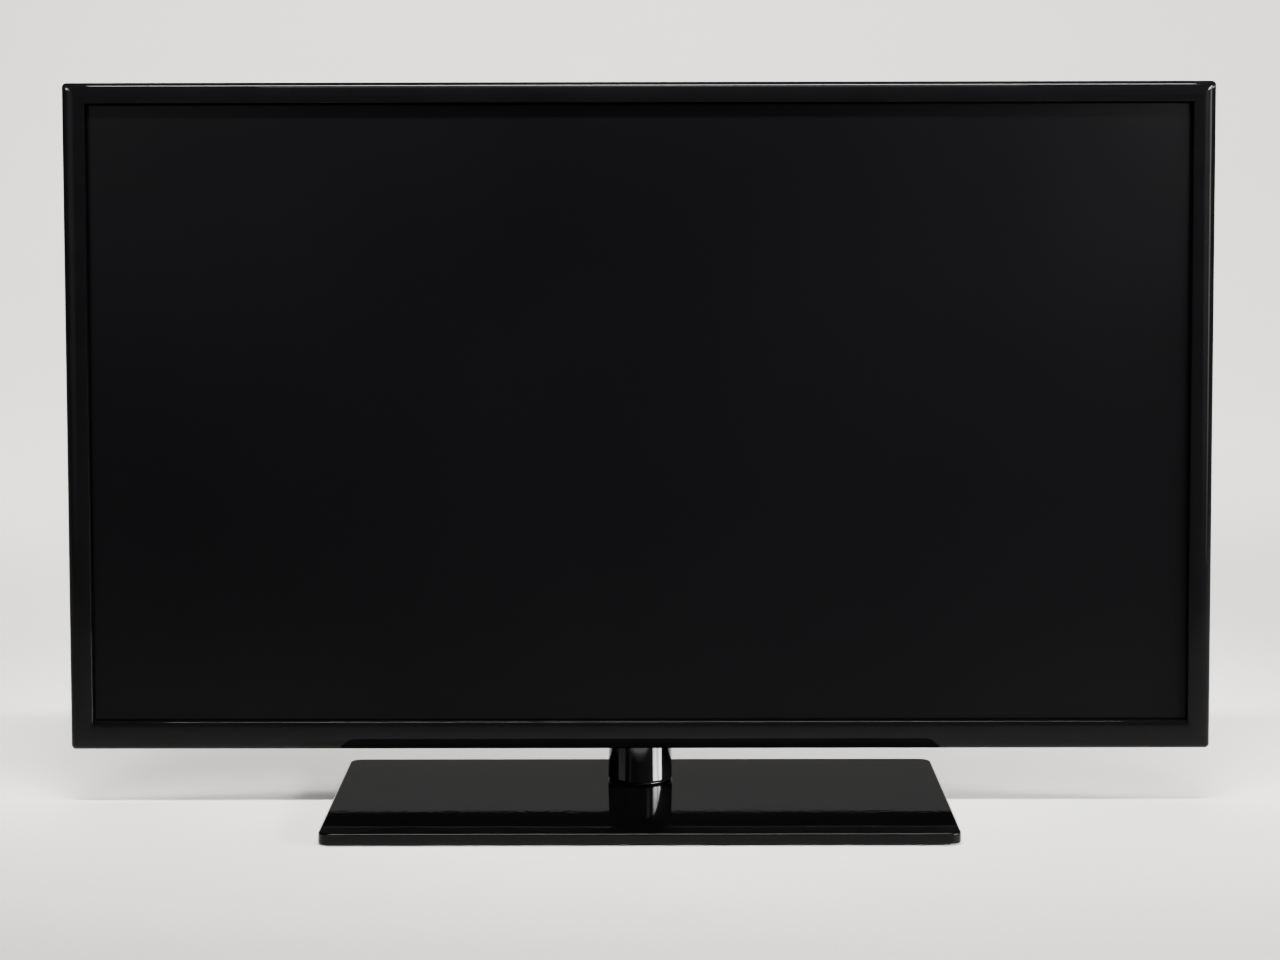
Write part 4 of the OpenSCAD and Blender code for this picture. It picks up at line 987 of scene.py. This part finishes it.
real = g.node("GeometryNodeRealizeInstances", None, {"Geometry": set_down})
done = g.node("GeometryNodeSetMaterial", None, {"Geometry": real, "Material": given.also("Finish")})
g.node("NodeGroupOutput", None, {"Geometry": done})
print("the scatter's tree has", len(scatter.nodes), "nodes")

# %% Loose parts of a solid
def loose_parts(node):
    """The box of every loose part of a solid, as (lowest corner, highest corner)."""
    shape = bmesh.new()
    shape.from_mesh(frame["nodes"][node].data)
    bmesh.ops.remove_doubles(shape, verts=shape.verts, dist=MERGE_DISTANCE)
    left, boxes = set(shape.verts), []
    while left:
        queue = [left.pop()]
        lo, hi = queue[0].co.copy(), queue[0].co.copy()
        while queue:
            spot = queue.pop()
            lo, hi = Vector(map(min, lo, spot.co)), Vector(map(max, hi, spot.co))
            for edge in spot.link_edges:
                other = edge.other_vert(spot)
                if other in left:
                    left.remove(other)
                    queue.append(other)
        boxes.append((lo, hi))
    shape.free()
    return sorted(boxes, key=lambda b: tuple(b[0]))


print("the back has", len(loose_parts("rear_screws")), "screws")

# %% Screws on their spots
def set_parts(name, node, part, axis, size, sink, seed):
    """Sets a part on the outer end of every loose part of a node."""
    axis = Vector(axis)
    spots = []
    for lo, hi in loose_parts(node):
        middle = (lo + hi) / 2
        reach = abs((hi - lo).dot(axis)) / 2
        spots.append(middle + axis * (reach - sink))
    seed_mesh = bpy.data.meshes.new(name)
    seed_mesh.from_pydata(spots, [], [])
    finish = finishes[slot_of[node]]
    made = grow(name, scatter, seed_mesh, {
        "Part": part, "Axis": axis, "Size": size, "Seed": seed, "Finish": finish})
    polish(made, crease=30.0)
    dress(made, None, body_of[node], node)


REAR_HEAD_R, REAR_HEAD_H = 2.7 * MM, 1.8 * MM
BASE_HEAD_R, BASE_HEAD_H = 3.2 * MM, 1.6 * MM
STAND_HEAD_R, STAND_HEAD_H = 4.5 * MM, 3.0 * MM
SWIVEL_HEAD_R, SWIVEL_HEAD_H = 3.4 * MM, 0.34 * MM
BACKWARD = (0, 1, 0)
DOWN = (0, 0, -1)
set_parts("closing_screws", "rear_screws", pan_head, BACKWARD, REAR_HEAD_R, REAR_HEAD_H, seed=3)
set_parts("underside_screws", "base_screws", pan_head, DOWN, BASE_HEAD_R, BASE_HEAD_H, seed=5)
set_parts("stand_bolts", "stand_screws", pan_head, BACKWARD, STAND_HEAD_R, STAND_HEAD_H, seed=7)
set_parts("swivel_bolts", "swivel_screws", flat_head, DOWN, SWIVEL_HEAD_R, SWIVEL_HEAD_H, seed=9)

# %% [markdown]
# ## Rubber feet
# Eight low feet carry the base. They are one small turned disc with a soft lower edge, set on the spots by
# the same tree. Rubber is dull and picks up lint, which the finish shows as pale specks.

# %% Feet
def lint_rubber():
    f = Finish("lint_rubber")
    lint = f.noise(1600.0, detail=2.0)
    bloom = f.noise(90.0, detail=3.0)
    colour = f.mix(tone(0.018, 0.018, 0.018), tone(0.04, 0.04, 0.04), bloom)
    dusty = f.mix(colour, tone(0.2, 0.2, 0.19), f.ease(lint, 0.7, 0.8) * 0.4)
    return f.surface(dusty, 0.75 + 0.15 * bloom, lint, depth=0.03 * MM)


finishes["rubber"] = lint_rubber()
feet_lo, feet_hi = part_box("rubber_feet")
FOOT_R = 9.0 * MM
FOOT_SIDES = 40
foot_h = (feet_hi.z - feet_lo.z) / FOOT_R
foot_outline = [(1.0, 0.0), (1.0, foot_h - 0.14), (0.985, foot_h - 0.07),
                (0.95, foot_h - 0.02), (0.9, foot_h), (0.3, foot_h)]
foot = loft("foot", [[(x, y, z) for x, y in circle_ring(r, FOOT_SIDES)] for r, z in foot_outline])
set_parts("feet", "rubber_feet", foot, DOWN, FOOT_R, foot_h * FOOT_R, seed=11)
for spare in (pan_head, flat_head, foot):
    bpy.data.objects.remove(spare)

# %% [markdown]
# ## Sockets
# The sockets keep the exact shapes of their solids, with broken edges. The plated ones take the nickel, and
# the moulded ones a dark plastic. The five round jacks are told apart by colour, as on every set: a mask on
# the distance along the row picks one of five tones.

# %% Moulded plastic
def moulded(name, dark, light, roughness):
    f = Finish(name)
    flow = f.noise(45.0, detail=3.0)
    grain = f.noise(1700.0, detail=3.0)
    return f.surface(f.mix(dark, light, flow), roughness + 0.15 * grain, grain, depth=0.03 * MM)


finishes["dark_plastic"] = moulded(
    "dark_moulding", tone(0.022, 0.022, 0.024), tone(0.036, 0.036, 0.039), roughness=0.36)
print("dark plastic")

# %% Coloured jacks
JACK_BARREL = 9.0 * MM
JACK_COUNT = 5


def coloured_jacks(node, count):
    """Dark bodies with barrels in five tones, by the place along the row."""
    lo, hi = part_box(node)
    f = Finish("coloured_jacks")
    share = (f.along("X") - lo.x) / (hi.x - lo.x) * count
    tones = [tone(0.05, 0.30, 0.09), tone(0.03, 0.09, 0.42), tone(0.45, 0.03, 0.03),
             tone(0.75, 0.74, 0.70), tone(0.45, 0.03, 0.03)]
    colour = tones[0]
    for i in range(1, count):
        colour = f.mix(colour, tones[i], share > i)
    flow = f.noise(80.0, detail=3.0)
    body = f.mix(tone(0.02, 0.02, 0.021), tone(0.035, 0.035, 0.037), flow)
    barrel = f.along("Z") < lo.z + JACK_BARREL
    return f.surface(f.mix(body, colour, barrel), 0.32 + 0.12 * flow, flow, depth=0.02 * MM)


jack_finish = coloured_jacks("av_jacks", JACK_COUNT)
print(JACK_COUNT, "jacks in a row")

# %% Sockets
SOCKET_EDGE = 0.15 * MM
POST_EDGE = 0.3 * MM
SOCKETS = ["hdmi_ports", "usb_ports", "lan_port", "antenna_jack", "headphone_jack", "optical_port",
           "mains_inlet"]
for node in SOCKETS:
    dress(softened(node, node + "_soft", SOCKET_EDGE), finishes[slot_of[node]], "set", node)
dress(softened("av_jacks", "av_jacks_soft", SOCKET_EDGE), jack_finish, "set", "av_jacks")
post_finish = finishes[slot_of["wall_posts"]]
dress(softened("wall_posts", "wall_posts_soft", POST_EDGE), post_finish, "set", "wall_posts")

# %% [markdown]
# ## Everything inside
# The pieces behind the glass and under the shell never show, but they are part of the set, and a scene that
# opens it will want them. They keep their solids and get the finish of their material: green boards with
# copper tracks, white films, taped windings, pulp cones and foam.

# %% Films, white plastic and foam
finishes["white_film"] = moulded(
    "white_film", tone(0.78, 0.79, 0.80), tone(0.88, 0.89, 0.90), roughness=0.5)
finishes["white_plastic"] = moulded(
    "white_moulding", tone(0.70, 0.70, 0.68), tone(0.82, 0.82, 0.80), roughness=0.4)
finishes["foam"] = moulded(
    "foam_strip", tone(0.012, 0.012, 0.012), tone(0.03, 0.03, 0.03), roughness=0.8)
print("films, white plastic and foam")

# %% Boards and windings
def green_board():
    f = Finish("green_board")
    blotch = f.noise(40.0, detail=2.0)
    cell = f.cells(420.0)
    weave = f.along("X") * 1600.0 + 3.0 * blotch
    track = f.ease(weave.through("SINE"), 0.2, 0.5)
    resist = f.mix(tone(0.016, 0.10, 0.036), tone(0.03, 0.17, 0.06), track * (blotch > 0.45))
    pads = f.mix(resist, tone(0.62, 0.6, 0.55), cell < 0.14)
    return f.surface(pads, 0.3 + 0.15 * blotch, track, depth=0.03 * MM)


def taped_winding():
    f = Finish("taped_winding")
    wraps = (f.along("Y") * 2200.0).through("SINE")
    stain = f.noise(70.0, detail=3.0)
    colour = f.mix(tone(0.58, 0.40, 0.07), tone(0.80, 0.60, 0.16), 0.5 + 0.3 * wraps * stain)
    return f.surface(colour, 0.35 + 0.15 * stain, wraps, depth=0.05 * MM)


finishes["circuit_board"] = green_board()
finishes["winding"] = taped_winding()
print("boards and windings")

# %% Cones and lenses
def pressed_pulp():
    f = Finish("pressed_pulp")
    fibres = f.noise(800.0, detail=4.0, place=f.stretch(1.0, 0.2, 1.0))
    colour = f.mix(tone(0.045, 0.045, 0.045), tone(0.10, 0.10, 0.098), fibres)
    return f.surface(colour, 0.8 + 0.1 * fibres, fibres, depth=0.1 * MM)


def clear_dome():
    f = Finish("clear_dome")
    ripple = f.noise(700.0, detail=2.0)
    colour = f.mix(tone(0.86, 0.88, 0.9), tone(0.95, 0.96, 0.97), ripple)
    roughness = 0.05 + 0.06 * ripple
    return f.surface(colour, roughness, ripple, depth=0.006 * MM, Transmission_Weight=0.85, IOR=1.49)


finishes["paper_cone"] = pressed_pulp()
finishes["clear_lens"] = clear_dome()
print(len(finishes), "finishes in all")

# %% Dressing the hidden pieces
kept = [node for node, solid in frame["nodes"].items() if not solid.hide_render]
for node in kept:
    solid = frame["nodes"][node]
    solid.data.materials.clear()
    solid.data.materials.append(finishes[slot_of[node]])
print(len(kept), "solids keep their shape and take a finish")
